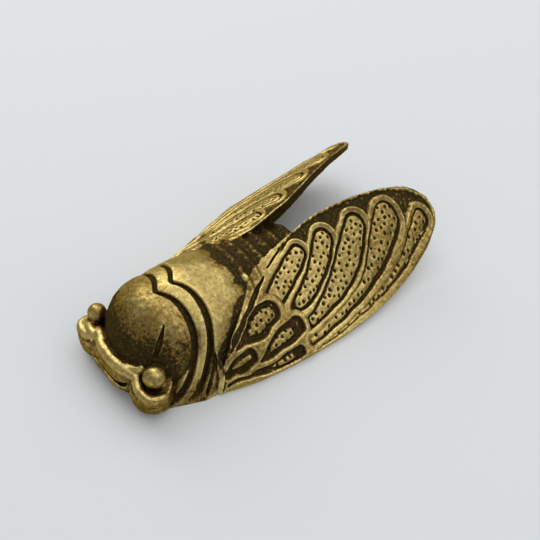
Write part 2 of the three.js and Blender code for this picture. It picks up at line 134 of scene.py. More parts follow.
class Spine:
    """Smooth row of balls: a curve through stations, each with its own radius, in millimetres."""

    # Distances are worked out this far round the balls, and places beyond it count as far away
    reach = 1.2
    # A thinner copy keeps at least the rest of each radius
    most_thinning = 0.34

    def __init__(self, stations: tuple[tuple[float, ...], ...], samples: int = 40) -> None:
        """Samples the curve.

        Args:
            stations: Rows of coordinates that end with a radius.
            samples: Number of samples on the whole curve.
        """
        table = np.array(stations, dtype=float)
        place = np.linspace(0, len(table) - 1, samples)
        rows = np.column_stack([np.arange(len(table)), table])
        columns = [Course(tuple(map(tuple, rows)), 1 + k)(place) for k in range(table.shape[1])]
        sampled = np.column_stack(columns)
        self.points, self.radius = sampled[:, :-1], sampled[:, -1]

    def distance(self, points: np.ndarray) -> tuple[np.ndarray, np.ndarray]:
        """Distance outside the balls, negative inside.

        Args:
            points: Places, one a row, with as many coordinates as the stations.

        Returns:
            The distance for each place, and the radius of the ball that it was measured from.
        """
        room = self.radius.max() + self.reach
        low, high = self.points.min(axis=0) - room, self.points.max(axis=0) + room
        near = np.flatnonzero(np.all((points > low) & (points < high), axis=1))
        here = points[near]
        best = np.full(len(near), FAR)
        radius = np.ones(len(near))
        for start, end, r1, r2 in zip(self.points[:-1], self.points[1:], self.radius[:-1], self.radius[1:]):
            along = end - start
            t = np.clip((here - start) @ along / max(along @ along, TINY), 0, 1)
            ball = mix(r1, r2, t)
            gap = np.linalg.norm(here - (start + t[:, None] * along), axis=1) - ball
            nearer = gap < best
            best = np.where(nearer, gap, best)
            radius = np.where(nearer, ball, radius)
        gaps, radii = np.full(len(points), FAR), np.ones(len(points))
        gaps[near], radii[near] = best, radius
        return gaps, radii

    def shortened(self, share: float, inset: float, lean: float) -> "Spine":
        """A thinner copy without its start.

        Args:
            share: Share of the curve that is left off at its start.
            inset: Most that each radius shrinks.
            lean: How far the copy moves towards the midline.

        Returns:
            The copy.
        """
        other = copy.copy(self)
        first = int(share * len(self.points))
        other.points = self.points[first:] - np.array((lean, 0.0))
        other.radius = self.radius[first:] - np.minimum(inset, self.most_thinning * self.radius[first:])
        return other


def wrapped_sheet(bm: bmesh.types.BMesh, around: int, along: int, place: Place) -> None:
    """Adds a tube: a grid wrapped round so that its sides meet, with both ends closed.

    Args:
        bm: Mesh to add to.
        around: Faces round the tube.
        along: Faces along the tube.
        place: Gives the points for the shares round and along the tube.
    """
    made = bmesh.ops.create_grid(bm, x_segments=around, y_segments=along, size=0.5)["verts"]
    share = np.array([vert.co[:2] for vert in made]) + 0.5
    for vert, point in zip(made, place(share[:, 0], share[:, 1])):
        vert.co = point
    bmesh.ops.remove_doubles(bm, verts=made, dist=WELD)
    rims = [edge for edge in bm.edges if edge.is_boundary]
    bmesh.ops.holes_fill(bm, edges=rims, sides=0)


def add_ball(bm: bmesh.types.BMesh, faces: Counts, radius: float, stretch: Triple, middle: Triple) -> None:
    """Adds a stretched ball.

    Args:
        bm: Mesh to add to.
        faces: Faces round the ball and from its foot to its top.
        radius: Radius before the stretch.
        stretch: Stretch along each axis.
        middle: Place of its middle.
    """
    ball = bmesh.ops.create_uvsphere(bm, u_segments=faces[0], v_segments=faces[1], radius=radius)["verts"]
    bmesh.ops.scale(bm, vec=stretch, verts=ball)
    bmesh.ops.translate(bm, vec=middle, verts=ball)


@dataclass
class Trunk:
    """Collar, thorax and abdomen: a swelling tube with a flat foot, in millimetres."""

    stations: tuple[Triple, ...] = (
        (-18.5, 6.9, 10.3), (-14.0, 7.5, 10.6), (-11.5, 7.7, 10.65), (-8.0, 7.5, 10.1),
        (-4.0, 6.8, 9.1), (0.0, 5.8, 8.1), (4.9, 4.4, 7.5),
    )
    end: float = 4.9
    flare_start: float = -19.6
    flare_slope: float = 0.37
    flare_limit: float = 1.7
    flare_power: int = 3
    collar_front: float = -14.3
    collar_back: float = -12.2
    kink_depth: float = 1.5
    kink_width: float = 1.6
    kink_softness: float = 0.35
    forward_sweep: float = 6.2
    forward_power: float = 1.9
    sweep_fade: Pair = (-11.0, -5.0)
    rib_first: float = -5.3
    rib_pitch: float = 1.7
    rib_count: int = 6
    rib_rise: float = 0.42
    level_front: float = -14.5
    arch: float = 0.75
    faces: Counts = (160, 150)
    gradient_step: float = 0.02
    least_gradient: float = 0.6

    def __post_init__(self) -> None:
        """Prepares the width and height along the body."""
        self.half_width = Course(self.stations, 1)
        self.height = Course(self.stations, 2)

    def collar_shift(self, across: np.ndarray, share: np.ndarray) -> np.ndarray:
        """How far a collar line moves along the body, by its place across and its share of the height.

        Args:
            across: Distances from the midline.
            share: Shares of the height.

        Returns:
            How far the line moves back, at each place.
        """
        reach = np.hypot(across, self.kink_softness) - self.kink_softness
        kink = self.kink_depth * (1 - np.exp(-reach / self.kink_width))
        return kink - self.forward_sweep * np.clip(1 - share, 0, 1) ** self.forward_power

    def rib(self, along: np.ndarray) -> np.ndarray:
        """Rise of the ribs across the abdomen.

        Args:
            along: Places along the body.

        Returns:
            The rise above the plain back.
        """
        phase = (along - self.rib_first) / self.rib_pitch
        wave = self.rib_rise * (0.5 - 0.5 * np.cos(2 * np.pi * phase))
        return np.where((phase < 0) | (phase > self.rib_count), 0.0, wave)

    def surface(self, along: np.ndarray, angle: np.ndarray) -> np.ndarray:
        """Points on the body, for places along it and angles from the left foot over the back.

        Args:
            along: Places along the body.
            angle: Angles in radians.

        Returns:
            The points, one a row.
        """
        share, across = np.sin(angle), np.cos(angle)
        fade_start, fade_end = self.sweep_fade
        fade = np.clip((fade_end - along) / (fade_end - fade_start), 0, 1)
        y = along + self.collar_shift(self.half_width(along) * across, share) * fade
        flare = np.clip((y - self.flare_start) * self.flare_slope, 0, self.flare_limit)
        flare *= (1 - share) ** self.flare_power
        rib = self.rib(along)
        x = (self.half_width(y) + rib * share) * across + np.sign(across) * flare
        z = (self.height(np.maximum(y, self.level_front)) + rib) * share
        return np.column_stack([x, y, z])

    def build(self, bm: bmesh.types.BMesh) -> None:
        """Adds the tube, from the front collar line to the blunt rear end.

        Args:
            bm: Mesh to add to.
        """

        def place(around: np.ndarray, along: np.ndarray) -> np.ndarray:
            """Points on the tube: the first part over the back, the rest under it.

            Args:
                around: Shares of the way round the tube.
                along: Shares of the way along it.

            Returns:
                The points, one a row.
            """
            over = np.clip(around / self.arch, 0, 1)
            under = np.clip((around - self.arch) / (1 - self.arch), 0, 1)
            points = self.surface(mix(self.collar_front, self.end, along), np.pi * over)
            points[:, 0] *= 1 - 2 * under
            return points

        wrapped_sheet(bm, *self.faces, place)

    def groove(self, points: np.ndarray, normals: np.ndarray, line: float) -> np.ndarray:
        """Distance over the skin to one collar line, with a sign.

        Args:
            points: Places on the skin.
            normals: Directions out of the skin.
            line: Place of the collar line along the body.

        Returns:
            The distance in front of the line, below 0, or behind it.
        """

        def gap(p: np.ndarray) -> np.ndarray:
            """Distance behind the line, measured along the body."""
            share = np.clip(p[:, 2] / self.height(np.maximum(p[:, 1], self.level_front)), 0, 1)
            return p[:, 1] - self.collar_shift(p[:, 0], share) - line

        value = gap(points)
        step = self.gradient_step
        rise = np.column_stack([(gap(points + step * axis) - value) / step for axis in np.eye(3)])
        rise -= normals * np.sum(rise * normals, axis=1)[:, None]
        return value / np.maximum(np.linalg.norm(rise, axis=1), self.least_gradient)


@dataclass
class Head:
    """Dome, muzzle, lobes, crest and eyes, in millimetres."""

    dome_centre: Triple = (0.0, -14.5, 3.4)
    dome_radii: Triple = (6.8, 6.15, 7.2)
    dome_faces: Counts = (96, 64)
    muzzle_half_width: float = 3.6
    muzzle_corners: Pair = (0.45, 0.9)
    muzzle_bow: float = 0.15
    muzzle_rear: float = -19.0
    muzzle_faces: Counts = (120, 40)
    muzzle_profile: tuple[Pair, ...] = (
        (-18.6, 0.0), (-18.6, 4.4), (-20.6, 4.4), (-21.6, 4.25), (-22.05, 3.85), (-22.24, 3.35),
        (-22.24, 3.05), (-21.95, 2.86), (-22.48, 2.68), (-22.5, 2.3), (-22.2, 1.5), (-21.8, 0.7),
        (-21.5, 0.0),
    )
    eye: Triple = (5.77, -19.2, 5.25)
    eye_radius_left: float = 1.3
    eye_radius_right: float = 1.1
    eye_faces: Counts = (40, 28)
    neck_radii: Pair = (0.95, 0.7)
    neck_depth: float = 2.6
    neck_shift: Triple = (-0.15, 0.2, -1.5)
    neck_faces: int = 24
    lobe: Pair = (5.3, -19.6)
    lobe_radius: float = 2.4
    lobe_profile: tuple[Pair, ...] = (
        (0.0, 0.0), (0.62, 0.0), (0.74, 0.35), (0.9, 0.95), (0.99, 1.7), (1.0, 2.9), (0.98, 3.7),
        (0.62, 3.7), (0.4, 3.1), (0.0, 3.0),
    )
    lobe_steps: int = 64
    lobe_weld: float = 1e-4
    right_lobe_shift: Pair = (0.45, 0.35)
    right_shift_start: float = 2.0
    right_shift_length: float = 3.0
    roll_faces: Counts = (48, 24)
    crest_drop: float = 2.4
    crest: tuple[Quad, ...] = (
        (0.0, -21.2, 4.45, 0.76), (1.7, -21.05, 4.42, 0.74), (2.9, -20.7, 4.32, 0.68),
        (3.7, -20.5, 4.15, 0.62), (4.5, -20.8, 3.95, 0.6), (5.5, -21.12, 3.82, 0.62),
        (6.5, -21.02, 3.75, 0.62), (7.25, -20.4, 3.65, 0.56), (7.42, -19.4, 3.45, 0.46),
        (7.1, -18.4, 3.2, 0.22),
    )
    spread: tuple[Quad, ...] = (
        (2.2, -20.65, 4.4, 0.66), (3.0, -20.2, 4.5, 0.62), (3.6, -19.8, 4.8, 0.48),
        (3.95, -19.35, 5.3, 0.25),
    )
    spread_drop: float = 0.9
    right_spread: tuple[Quad, ...] = (
        (2.2, -20.75, 4.35, 0.7), (3.2, -20.5, 4.35, 0.7), (4.0, -20.15, 4.25, 0.62),
        (4.6, -19.8, 4.15, 0.45),
    )
    right_fill: tuple[Quad, ...] = (
        (3.4, -21.0, 4.0, 0.7), (4.3, -20.8, 4.02, 0.8), (5.1, -20.62, 3.9, 0.8),
        (5.9, -20.65, 3.7, 0.66), (6.4, -20.6, 3.6, 0.5),
    )

    def lobe_middle(self, side: int) -> Pair:
        """Middle of the left or the right lobe: distance from the midline, and place along the body."""
        inward, forward = self.right_lobe_shift if side < 0 else (0.0, 0.0)
        return self.lobe[0] - inward, self.lobe[1] - forward

    def build(self, bm: bmesh.types.BMesh) -> None:
        """Adds every form of the head as closed shells that overlap.

        Args:
            bm: Mesh to add to.
        """
        add_ball(bm, self.dome_faces, 1.0, self.dome_radii, self.dome_centre)
        self._build_muzzle(bm)
        self._build_crest(bm)
        for side in (1, -1):
            self._build_lobe(bm, side)
            self._build_eye(bm, side)

    def _build_muzzle(self, bm: bmesh.types.BMesh) -> None:
        """Adds the broad muzzle with its lip line.

        Args:
            bm: Mesh to add to.
        """
        outline = np.array((*self.muzzle_profile, self.muzzle_profile[0]))
        reach = np.concatenate([[0], np.cumsum(np.linalg.norm(np.diff(outline, axis=0), axis=1))])

        def place(around: np.ndarray, along: np.ndarray) -> np.ndarray:
            """Points on the muzzle: round its profile, from side to side.

            Args:
                around: Shares of the way round the tube.
                along: Shares of the way along it.

            Returns:
                The points, one a row.
            """
            at = around * reach[-1]
            share = 2 * along - 1
            right, left = self.muzzle_corners
            back = np.where(share > 0, left, right) * share**4 + self.muzzle_bow * share**2
            y = np.interp(at, reach, outline[:, 0])
            y += np.where(y < self.muzzle_rear, back, 0)
            return np.column_stack([share * self.muzzle_half_width, y, np.interp(at, reach, outline[:, 1])])

        wrapped_sheet(bm, *self.muzzle_faces, place)

    def _build_crest(self, bm: bmesh.types.BMesh) -> None:
        """Adds the rolled crest over the muzzle and round both eyes, and what joins it to the dome.

        Args:
            bm: Mesh to add to.
        """
        left = np.array(self.crest)
        right = left[:0:-1].copy()
        share = np.clip((right[:, 0] - self.right_shift_start) / self.right_shift_length, 0, 1)
        right[:, :2] -= share[:, None] * self.right_lobe_shift
        right[:, 0] *= -1
        self._build_roll(bm, np.concatenate([right, left]), self.crest_drop)
        for side in (1, -1):
            rows = self.right_spread if side < 0 else self.spread
            self._build_roll(bm, np.array(rows) * (side, 1, 1, 1), self.spread_drop)
        self._build_roll(bm, np.array(self.right_fill) * (-1, 1, 1, 1), self.spread_drop)

    def _build_roll(self, bm: bmesh.types.BMesh, rows: np.ndarray, drop: float) -> None:
        """Adds one roll of metal with a round top and walls below.

        Args:
            bm: Mesh to add to.
            rows: Stations along the roll: x, y and z of its middle, and its radius.
            drop: Height of the walls.
        """
        stations = tuple(map(tuple, np.column_stack([np.arange(len(rows)), rows])))
        course = [Course(stations, 1 + k) for k in range(4)]

        def place(around: np.ndarray, along: np.ndarray) -> np.ndarray:
            """Points on the roll: round its section, from its start to its end.

            Args:
                around: Shares of the way round the tube.
                along: Shares of the way along it.

            Returns:
                The points, one a row.
            """
            at = along * (len(rows) - 1)
            centre = np.column_stack([course[k](at) for k in range(3)])
            ahead = np.column_stack([course[k].slope(at) for k in range(3)])
            ahead /= np.linalg.norm(ahead, axis=1)[:, None]
            level = np.cross([0.0, 0.0, 1.0], ahead)
            level /= np.linalg.norm(level, axis=1)[:, None]
            upright = np.cross(ahead, level)
            side, rise = np.cos(2 * np.pi * around), np.sin(2 * np.pi * around)
            radius = course[3](at)
            square = np.sqrt(np.abs(side)) * np.sign(side)
            wide = np.where(rise < 0, square, side) * radius
            high = np.where(rise < 0, -drop * np.sqrt(np.abs(rise)), rise * radius)
            return centre + level * wide[:, None] + upright * high[:, None]

        around, along_each = self.roll_faces
        wrapped_sheet(bm, around, along_each * len(rows), place)

    def _build_lobe(self, bm: bmesh.types.BMesh, side: int) -> None:
        """Spins the lobe round one eye, with its sunken socket.

        Args:
            bm: Mesh to add to.
            side: 1 for the left side, -1 for the right.
        """
        x, y = self.lobe_middle(side)
        points = [bm.verts.new((x + r * self.lobe_radius, y, z)) for r, z in self.lobe_profile]
        edges = [bm.edges.new(pair) for pair in zip(points[:-1], points[1:])]
        profile = [*points, *edges]
        turn = {"cent": (x, y, 0), "axis": (0, 0, 1), "angle": 2 * math.pi, "steps": self.lobe_steps}
        last = bmesh.ops.spin(bm, geom=profile, **turn)["geom_last"]
        ring = (item for item in last if isinstance(item, bmesh.types.BMEdge))
        shell = self._island({vert for edge in ring for vert in edge.verts})
        bmesh.ops.remove_doubles(bm, verts=list(shell), dist=self.lobe_weld)
        if side < 0:
            bmesh.ops.scale(bm, vec=(-1, 1, 1), verts=[vert for vert in shell if vert.is_valid])

    def _build_eye(self, bm: bmesh.types.BMesh, side: int) -> None:
        """Adds one eyeball and the neck that joins it to the socket.

        Args:
            bm: Mesh to add to.
            side: 1 for the left side, -1 for the right.
        """
        x, y, z = self.eye
        radius = self.eye_radius_left if side > 0 else self.eye_radius_right
        add_ball(bm, self.eye_faces, radius, (1.0, 1.0, 1.0), (side * x, y, z))
        low, high = self.neck_radii
        size = {"segments": self.neck_faces, "radius1": low, "radius2": high, "depth": self.neck_depth}
        neck = bmesh.ops.create_cone(bm, cap_ends=True, **size)["verts"]
        aside, back, up = self.neck_shift
        bmesh.ops.translate(bm, vec=(side * (x + aside), y + back, z + up), verts=neck)

    @staticmethod
    def _island(seeds: set[bmesh.types.BMVert]) -> set[bmesh.types.BMVert]:
        """Every vertex that edges join to the seeds.

        Args:
            seeds: Vertices to start from.

        Returns:
            The seeds and all that hangs together with them.
        """
        found, fresh = set(seeds), set(seeds)
        while fresh:
            fresh = {edge.other_vert(vert) for vert in fresh for edge in vert.link_edges} - found
            found |= fresh
        return found


class Relief(Enum):
    """Levels of the wing's relief above its plain surface, in millimetres."""

    RIM = -0.1
    VEIN = 0.06
    FLOOR = 0.0
    FLOOR_EDGE = -0.26
    MOAT = -0.48
    FIELD = -0.38


@dataclass
class Cell:
    """One cell between the veins: rows of balls in plan for its hollow and for the cushion in it."""

    stations: tuple[Triple, ...]
    vein: float
    cushion: tuple[Triple, ...] = ()
    upper: bool = True
    trim: float = 0.02
    lean: float = 0.0
    moat: float = 0.33

    def __post_init__(self) -> None:
        """Prepares the spines."""
        self.spine = Spine(self.stations)
        short = self.spine.shortened(self.trim, self.moat, self.lean)
        self.cushion_spine = Spine(self.cushion) if self.cushion else short


def upper_cells() -> tuple[Cell, ...]:
    """The five long cells of a wing: x, y and half width along each, from its base to its end.

    Returns:
        The cells, from the ridge to the outer edge.
    """
    return (
        Cell(((6.7, -3.2, 1.06), (5.9, -1.4, 1.27), (4.95, 0.9, 1.35), (4.25, 2.8, 1.18)), 0.5, trim=0.13),
        Cell(
            (
                (8.3, -0.9, 0.68), (7.95, 0.8, 1.03), (7.05, 3.1, 1.2), (6.0, 4.9, 1.36),
                (4.8, 6.45, 1.38),
            ),
            0.56,
            trim=0.11,
        ),
        Cell(
            (
                (10.3, -0.6, 0.52), (10.05, 1.2, 0.76), (9.5, 3.8, 1.1), (8.65, 6.2, 1.5),
                (7.3, 8.75, 1.7), (5.8, 10.85, 1.52),
            ),
            0.6,
            trim=0.09,
        ),
        Cell(
            (
                (11.75, -1.2, 0.4), (11.65, 1.4, 0.48), (11.2, 6.0, 0.6), (10.55, 8.9, 0.84),
                (9.6, 11.1, 1.26), (8.4, 13.2, 1.7), (7.15, 15.2, 1.86),
            ),
            0.68,
            lean=0.14,
        ),
        Cell(
            (
                (12.55, -1.0, 0.12), (12.65, 1.6, 0.16), (12.4, 7.4, 0.27), (11.9, 11.6, 0.4),
                (11.2, 14.6, 0.57), (10.0, 17.5, 0.86), (8.9, 20.0, 1.15),
            ),
            0.62,
            lean=0.12,
        ),
    )


def lower_cells() -> tuple[Cell, ...]:
    """The four short cells at the root, each with its own cushion.

    Returns:
        The cells, the one at the very root first.
    """
    first = (
        (8.3, -10.0, 0.08), (8.2, -9.0, 0.25), (8.1, -8.0, 0.6), (8.0, -7.0, 0.95),
        (7.7, -6.0, 1.2), (7.42, -5.0, 1.17), (7.32, -4.05, 1.1),
    )
    second = (
        (10.3, -8.0, 0.08), (10.2, -7.0, 0.3), (10.1, -6.0, 0.56), (9.97, -5.0, 0.75),
        (9.88, -4.0, 0.84), (9.78, -2.6, 0.9), (9.72, -1.95, 0.9),
    )
    root = (
        (9.05, -12.6, 0.08), (9.15, -12.0, 0.27), (9.3, -11.0, 0.45), (9.4, -10.0, 0.6),
        (9.45, -9.0, 0.66), (9.5, -8.7, 0.64),
    )
    outer = (
        (10.5, -9.5, 0.08), (10.95, -8.0, 0.17), (11.2, -7.0, 0.27), (11.45, -6.0, 0.4),
        (11.6, -5.0, 0.5), (11.66, -4.0, 0.52), (11.66, -3.0, 0.5),
    )
    hollows, veins = (root, first, second, outer), (0.33, 0.8, 0.62, 0.36)
    cushions = (
        ((9.2, -11.3, 0.1), (9.35, -10.2, 0.2), (9.5, -8.9, 0.24)),
        ((8.0, -7.6, 0.3), (7.75, -6.2, 0.72), (7.45, -5.0, 0.78), (7.4, -4.2, 0.7)),
        ((10.1, -6.3, 0.15), (9.98, -5.0, 0.42), (9.88, -4.0, 0.45), (9.82, -3.0, 0.4)),
        ((11.15, -6.9, 0.12), (11.4, -6.0, 0.22), (11.58, -5.0, 0.25), (11.62, -4.0, 0.22)),
    )
    return tuple(Cell(*parts, False) for parts in zip(hollows, veins, cushions))


@dataclass
class Wings:
    """Both wings as plates with rims, veins and punched cells, in millimetres."""

    ridge: tuple[Triple, ...] = (
        (-13.3, 9.0, 0.6), (-12.1, 8.5, 2.6), (-11.0, 7.9, 4.6), (-9.0, 6.9, 6.0), (-7.0, 5.7, 6.8),
        (-5.3, 4.6, 7.4), (-4.1, 3.7, 7.7), (-2.9, 3.0, 7.9), (-1.0, 2.4, 8.1), (1.0, 2.0, 8.5),
        (3.1, 1.9, 9.1), (5.8, 1.9, 9.7), (8.7, 2.3, 10.2), (11.9, 3.0, 10.5), (14.8, 3.7, 10.4),
        (18.4, 4.7, 9.7), (20.1, 5.3, 9.1), (21.5, 6.1, 8.2), (22.5, 7.1, 7.3),
    )
    edge: tuple[Triple, ...] = (
        (-13.3, 9.5, 0.7), (-8.9, 11.1, 0.7), (-3.8, 12.2, 0.7), (0.5, 12.75, 0.7),
        (3.5, 13.0, 0.7), (6.6, 13.1, 0.75), (10.3, 12.95, 1.1), (14.4, 12.4, 1.8),
        (17.9, 11.6, 2.8), (20.6, 10.6, 4.1), (21.8, 9.9, 5.0), (22.5, 8.9, 6.1),
    )
    root: float = -13.3
    tip: float = 22.5
    bulge: float = 0.8
    right_edge_inset: float = 1.1
    right_edge_fade: Pair = (6.0, 9.0)
    right_root_inset: float = 1.0
    right_root_fade: Pair = (-2.0, 4.0)
    ridge_wall: float = 2.4
    tip_wall: float = 1.0
    edge_wall: float = 0.7
    fill_end: float = 3.8
    outer_rim: float = 0.5
    inner_rim: tuple[Pair, ...] = (
        (-12.0, 0.35), (-9.0, 0.5), (-7.0, 0.7), (-3.5, 0.9), (-1.6, 0.9), (0.8, 0.6), (2.5, 0.42),
        (4.5, 0.32), (16.0, 0.3), (20.0, 0.5), (22.5, 0.6),
    )
    slits: tuple[tuple[Triple, ...], ...] = (
        ((2.5, 1.5, 0.08), (2.9, 0.3, 0.04), (3.45, -1.3, 0.02)),
        (
            (4.05, -2.35, 0.02), (4.5, -3.3, 0.1), (5.0, -4.3, 0.18), (5.5, -5.1, 0.2),
            (6.1, -6.1, 0.18), (6.7, -7.3, 0.22), (7.3, -8.6, 0.25), (7.8, -10.0, 0.25),
            (8.1, -11.2, 0.18),
        ),
        (
            (9.7, -12.4, 0.03), (10.15, -10.7, 0.05), (10.5, -9.7, 0.05), (10.95, -8.5, 0.07),
            (11.35, -7.3, 0.05),
        ),
    )
    slit_wall: Pair = (0.13, -0.02)
    bulge_rise: float = 8.0
    bulge_end: float = 22.6
    bulge_fall: float = 6.0
    least_width: float = 0.05
    wall_start: float = 4.0
    upper_share: float = 0.6
    faces: Counts = (150, 260)
    field_start: Pair = (0.4, 2.0)
    rim_soft: float = 0.16
    tip_room: float = 0.1
    ragged_long: Pair = (0.05, 3.1)
    ragged_short: Triple = (0.04, 7.7, 1.3)
    ragged_start: float = 1.0
    vein_crown: float = 0.75
    cell_wall: float = 0.14
    cushion_soft: Pair = (0.13, 0.14)
    cushion_crown: float = 0.66
    least_crown: float = 0.1
    moat_radii: Pair = (0.25, 0.6)
    lower_soft: float = 0.14
    lower_rim: float = 0.12
    lower_crown: Pair = (0.1, 0.6)
    lower_sink: Pair = (0.05, 0.02)
    punch_spacing: float = 0.58
    punch_radius: Pair = (0.15, 0.21)
    punch_depth: float = 0.18
    punch_wall: Pair = (1.3, 0.5)
    punch_tries: int = 1500
    punch_margin: float = 1.5
    punch_inset: Pair = (0.16, 0.3)
    punch_overhang: float = 0.05
    punch_clearance: float = 0.5
    punch_dirt: float = 0.85
    dirt_heights: Pair = (-0.18, -0.42)
    drift: float = 0.06
    drift_phases: Pair = (0.4, 2.9)
    drift_waves: tuple[Triple, ...] = ((0.6, 0.9, 1.7), (0.4, 2.6, -2.1))
    upper: tuple[Cell, ...] = field(default_factory=upper_cells)
    lower: tuple[Cell, ...] = field(default_factory=lower_cells)

    def __post_init__(self) -> None:
        """Prepares the edges and their heights."""
        self.ridge_x, self.ridge_z = Course(self.ridge, 1), Course(self.ridge, 2)
        self.edge_x, self.edge_z = Course(self.edge, 1), Course(self.edge, 2)
        self.inner_rim_width = Course(self.inner_rim, 1)
        self.slit_spines = [Spine(slit) for slit in self.slits]

    def span(self, y: np.ndarray, side: int) -> tuple[np.ndarray, np.ndarray]:
        """Distance from the midline to the inner and the outer edge of the left or the right wing.

        Args:
            y: Places along the body.
            side: 1 for the left side, -1 for the right.

        Returns:
            The distances to the inner and to the outer edge.
        """
        inner, outer = self.ridge_x(y), self.edge_x(y)
        if side < 0:
            start, length = self.right_root_fade
            inner = inner - self.right_root_inset * np.clip((start - y) / length, 0, 1)
            start, length = self.right_edge_fade
            outer = outer - self.right_edge_inset * np.clip((start - y) / length, 0, 1)
        return inner, outer

    def height(self, share: np.ndarray, y: np.ndarray) -> np.ndarray:
        """Height of the upper face, by the share of the way from the inner to the outer edge.

        Args:
            share: Shares of the way across the wing.
            y: Places along the body.

        Returns:
            The height at each place.
        """
        t = np.clip(share, 0, 1)
        near_tip = np.sqrt(np.clip((self.bulge_end - y) / self.bulge_fall, 0, 1))
        room = np.clip((y - self.root) / self.bulge_rise, 0, 1) * near_tip
        return mix(self.ridge_z(y), self.edge_z(y), t) + self.bulge * room * 4 * t * (1 - t)

    def share(self, across: np.ndarray, y: np.ndarray, side: int) -> np.ndarray:
        """Share of the way from the inner to the outer edge."""
        inner, outer = self.span(y, side)
        return (across - inner) / np.maximum(outer - inner, self.least_width)

    def build(self, bm: bmesh.types.BMesh, side: int) -> None:
        """Adds one wing as a closed plate that is filled to the floor beside the body.

        Args:
            bm: Mesh to add to.
            side: 1 for the left side, -1 for the right.
        """
        face, start, nudge = self.upper_share, self.wall_start, 1e-6

        def place(around: np.ndarray, along: np.ndarray) -> np.ndarray:
            """Points on the plate: the first part on its upper face, the rest below.

            Args:
                around: Shares of the way round the tube.
                along: Shares of the way along it.

            Returns:
                The points, one a row.
            """
            y = mix(self.root, self.tip, along)
            top = around <= face + nudge
            share = np.where(top, around / face, 1 - (around - face) / (1 - face))
            share = np.where(around > 1 - nudge, 0.0, share)
            inner, outer = self.span(y, side)
            x = mix(inner, outer, share)
            z = self.height(share, y)
            rise = np.clip((y - start) / (self.tip - start), 0, 1)
            wall = mix(mix(self.ridge_wall, self.tip_wall, rise), self.edge_wall, share)
            under = np.where(y <= self.fill_end, 0.0, np.maximum(z - wall, 0.0))
            seam = (around > 1 - nudge) | (around < nudge)
            z = np.where(top | seam, z, under)
            return np.column_stack([side * x, y, z])

        wrapped_sheet(bm, *self.faces, place)

    def punches(self, seed: int) -> np.ndarray:
        """Scatters the punched dots over the floors of the cells, in plan.

        Args:
            seed: Start of the draw, so that both wings differ but never change.

        Returns:
            The middle and the radius of each dot, one a row.
        """
        draw = random.Random(seed)
        dots: list[Triple] = []
        for cell in (*self.upper, *self.lower[1:]):
            spine = cell.cushion_spine
            low = spine.points.min(axis=0) - self.punch_margin
            high = spine.points.max(axis=0) + self.punch_margin
            tries = np.array(
                [[draw.uniform(low[k], high[k]) for k in (0, 1)] for _ in range(self.punch_tries)]
            )
            gap, radius = spine.distance(tries)
            inset, share = self.punch_inset
            keep = gap < (-np.minimum(inset, share * radius) if cell.upper else self.punch_overhang)
            for other in self.lower if cell.upper else ():
                keep &= other.spine.distance(tries)[0] > other.vein + self.punch_clearance
            for a, b in tries[keep]:
                if all((a - x) ** 2 + (b - y) ** 2 > self.punch_spacing**2 for x, y, _ in dots):
                    dots.append((a, b, draw.uniform(*self.punch_radius)))
        return np.array(dots)

    def relief(self, x: np.ndarray, y: np.ndarray, dots: np.ndarray) -> tuple[np.ndarray, np.ndarray]:
        """Height of the relief in the left wing's plan.

        Args:
            x: Distances from the midline.
            y: Places along the body.
            dots: Middle and radius of each punched dot.

        Returns:
            The height above the plain upper face, and the share of dirt that the hollows hold.
        """
        drift = [self.drift * self._wobble(x, y, phase) for phase in self.drift_phases]
        plan = np.column_stack([x + drift[0], y + drift[1]])
        lower = [cell.spine.distance(plan)[0] for cell in self.lower]
        root_gap = lower[0]
        lower = [root_gap, *(np.maximum(gap, self.lower[0].vein - root_gap) for gap in lower[1:])]
        nearest = np.full(len(x), FAR)
        radius, vein, cushion = np.ones(len(x)), np.ones(len(x)), np.ones(len(x))
        for cell in self.upper:
            gap, ball = cell.spine.distance(plan)
            for other, other_gap in zip(self.lower, lower):
                gap = np.maximum(gap, other.vein - other_gap)
            nearer = gap < nearest
            nearest = np.where(nearer, gap, nearest)
            radius = np.where(nearer, ball, radius)
            vein = np.where(nearer, cell.vein, vein)
            cushion = np.where(nearer, cell.cushion_spine.distance(plan)[0], cushion)
        height = self._outside(x, y, nearest, vein, plan)
        height = np.where(nearest < 0, self._floor(nearest, cushion, radius), height)
        for cell, gap in zip(self.lower, lower):
            hollow = self._lower_floor(gap, cell.cushion_spine.distance(plan)[0])
            height = np.where(gap < self.lower_rim, np.minimum(height, hollow), height)
        closest = np.full(len(plan), FAR)
        for dot in dots:
            closest = np.minimum(closest, np.sum((plan - dot[:2]) ** 2, axis=1) / dot[2] ** 2)
        punched = smoothstep(*self.punch_wall, np.sqrt(closest)) * ((nearest < 0) | (y < 0))
        dirt = np.maximum(smoothstep(*self.dirt_heights, height), self.punch_dirt * punched)
        return height - self.punch_depth * punched, dirt

    def _wobble(self, x: np.ndarray, y: np.ndarray, phase: float) -> np.ndarray:
        """Drift of a line cut by hand, between -1 and 1.

        Args:
            x: Distances from the midline.
            y: Places along the body.
            phase: Start of the waves, in radians.

        Returns:
            The drift at each place.
        """
        (slow, slow_x, slow_y), (fast, fast_x, fast_y) = self.drift_waves
        gentle = slow * np.sin(slow_x * x + slow_y * y + phase)
        return gentle + fast * np.sin(fast_x * x + fast_y * y + 2 * phase)

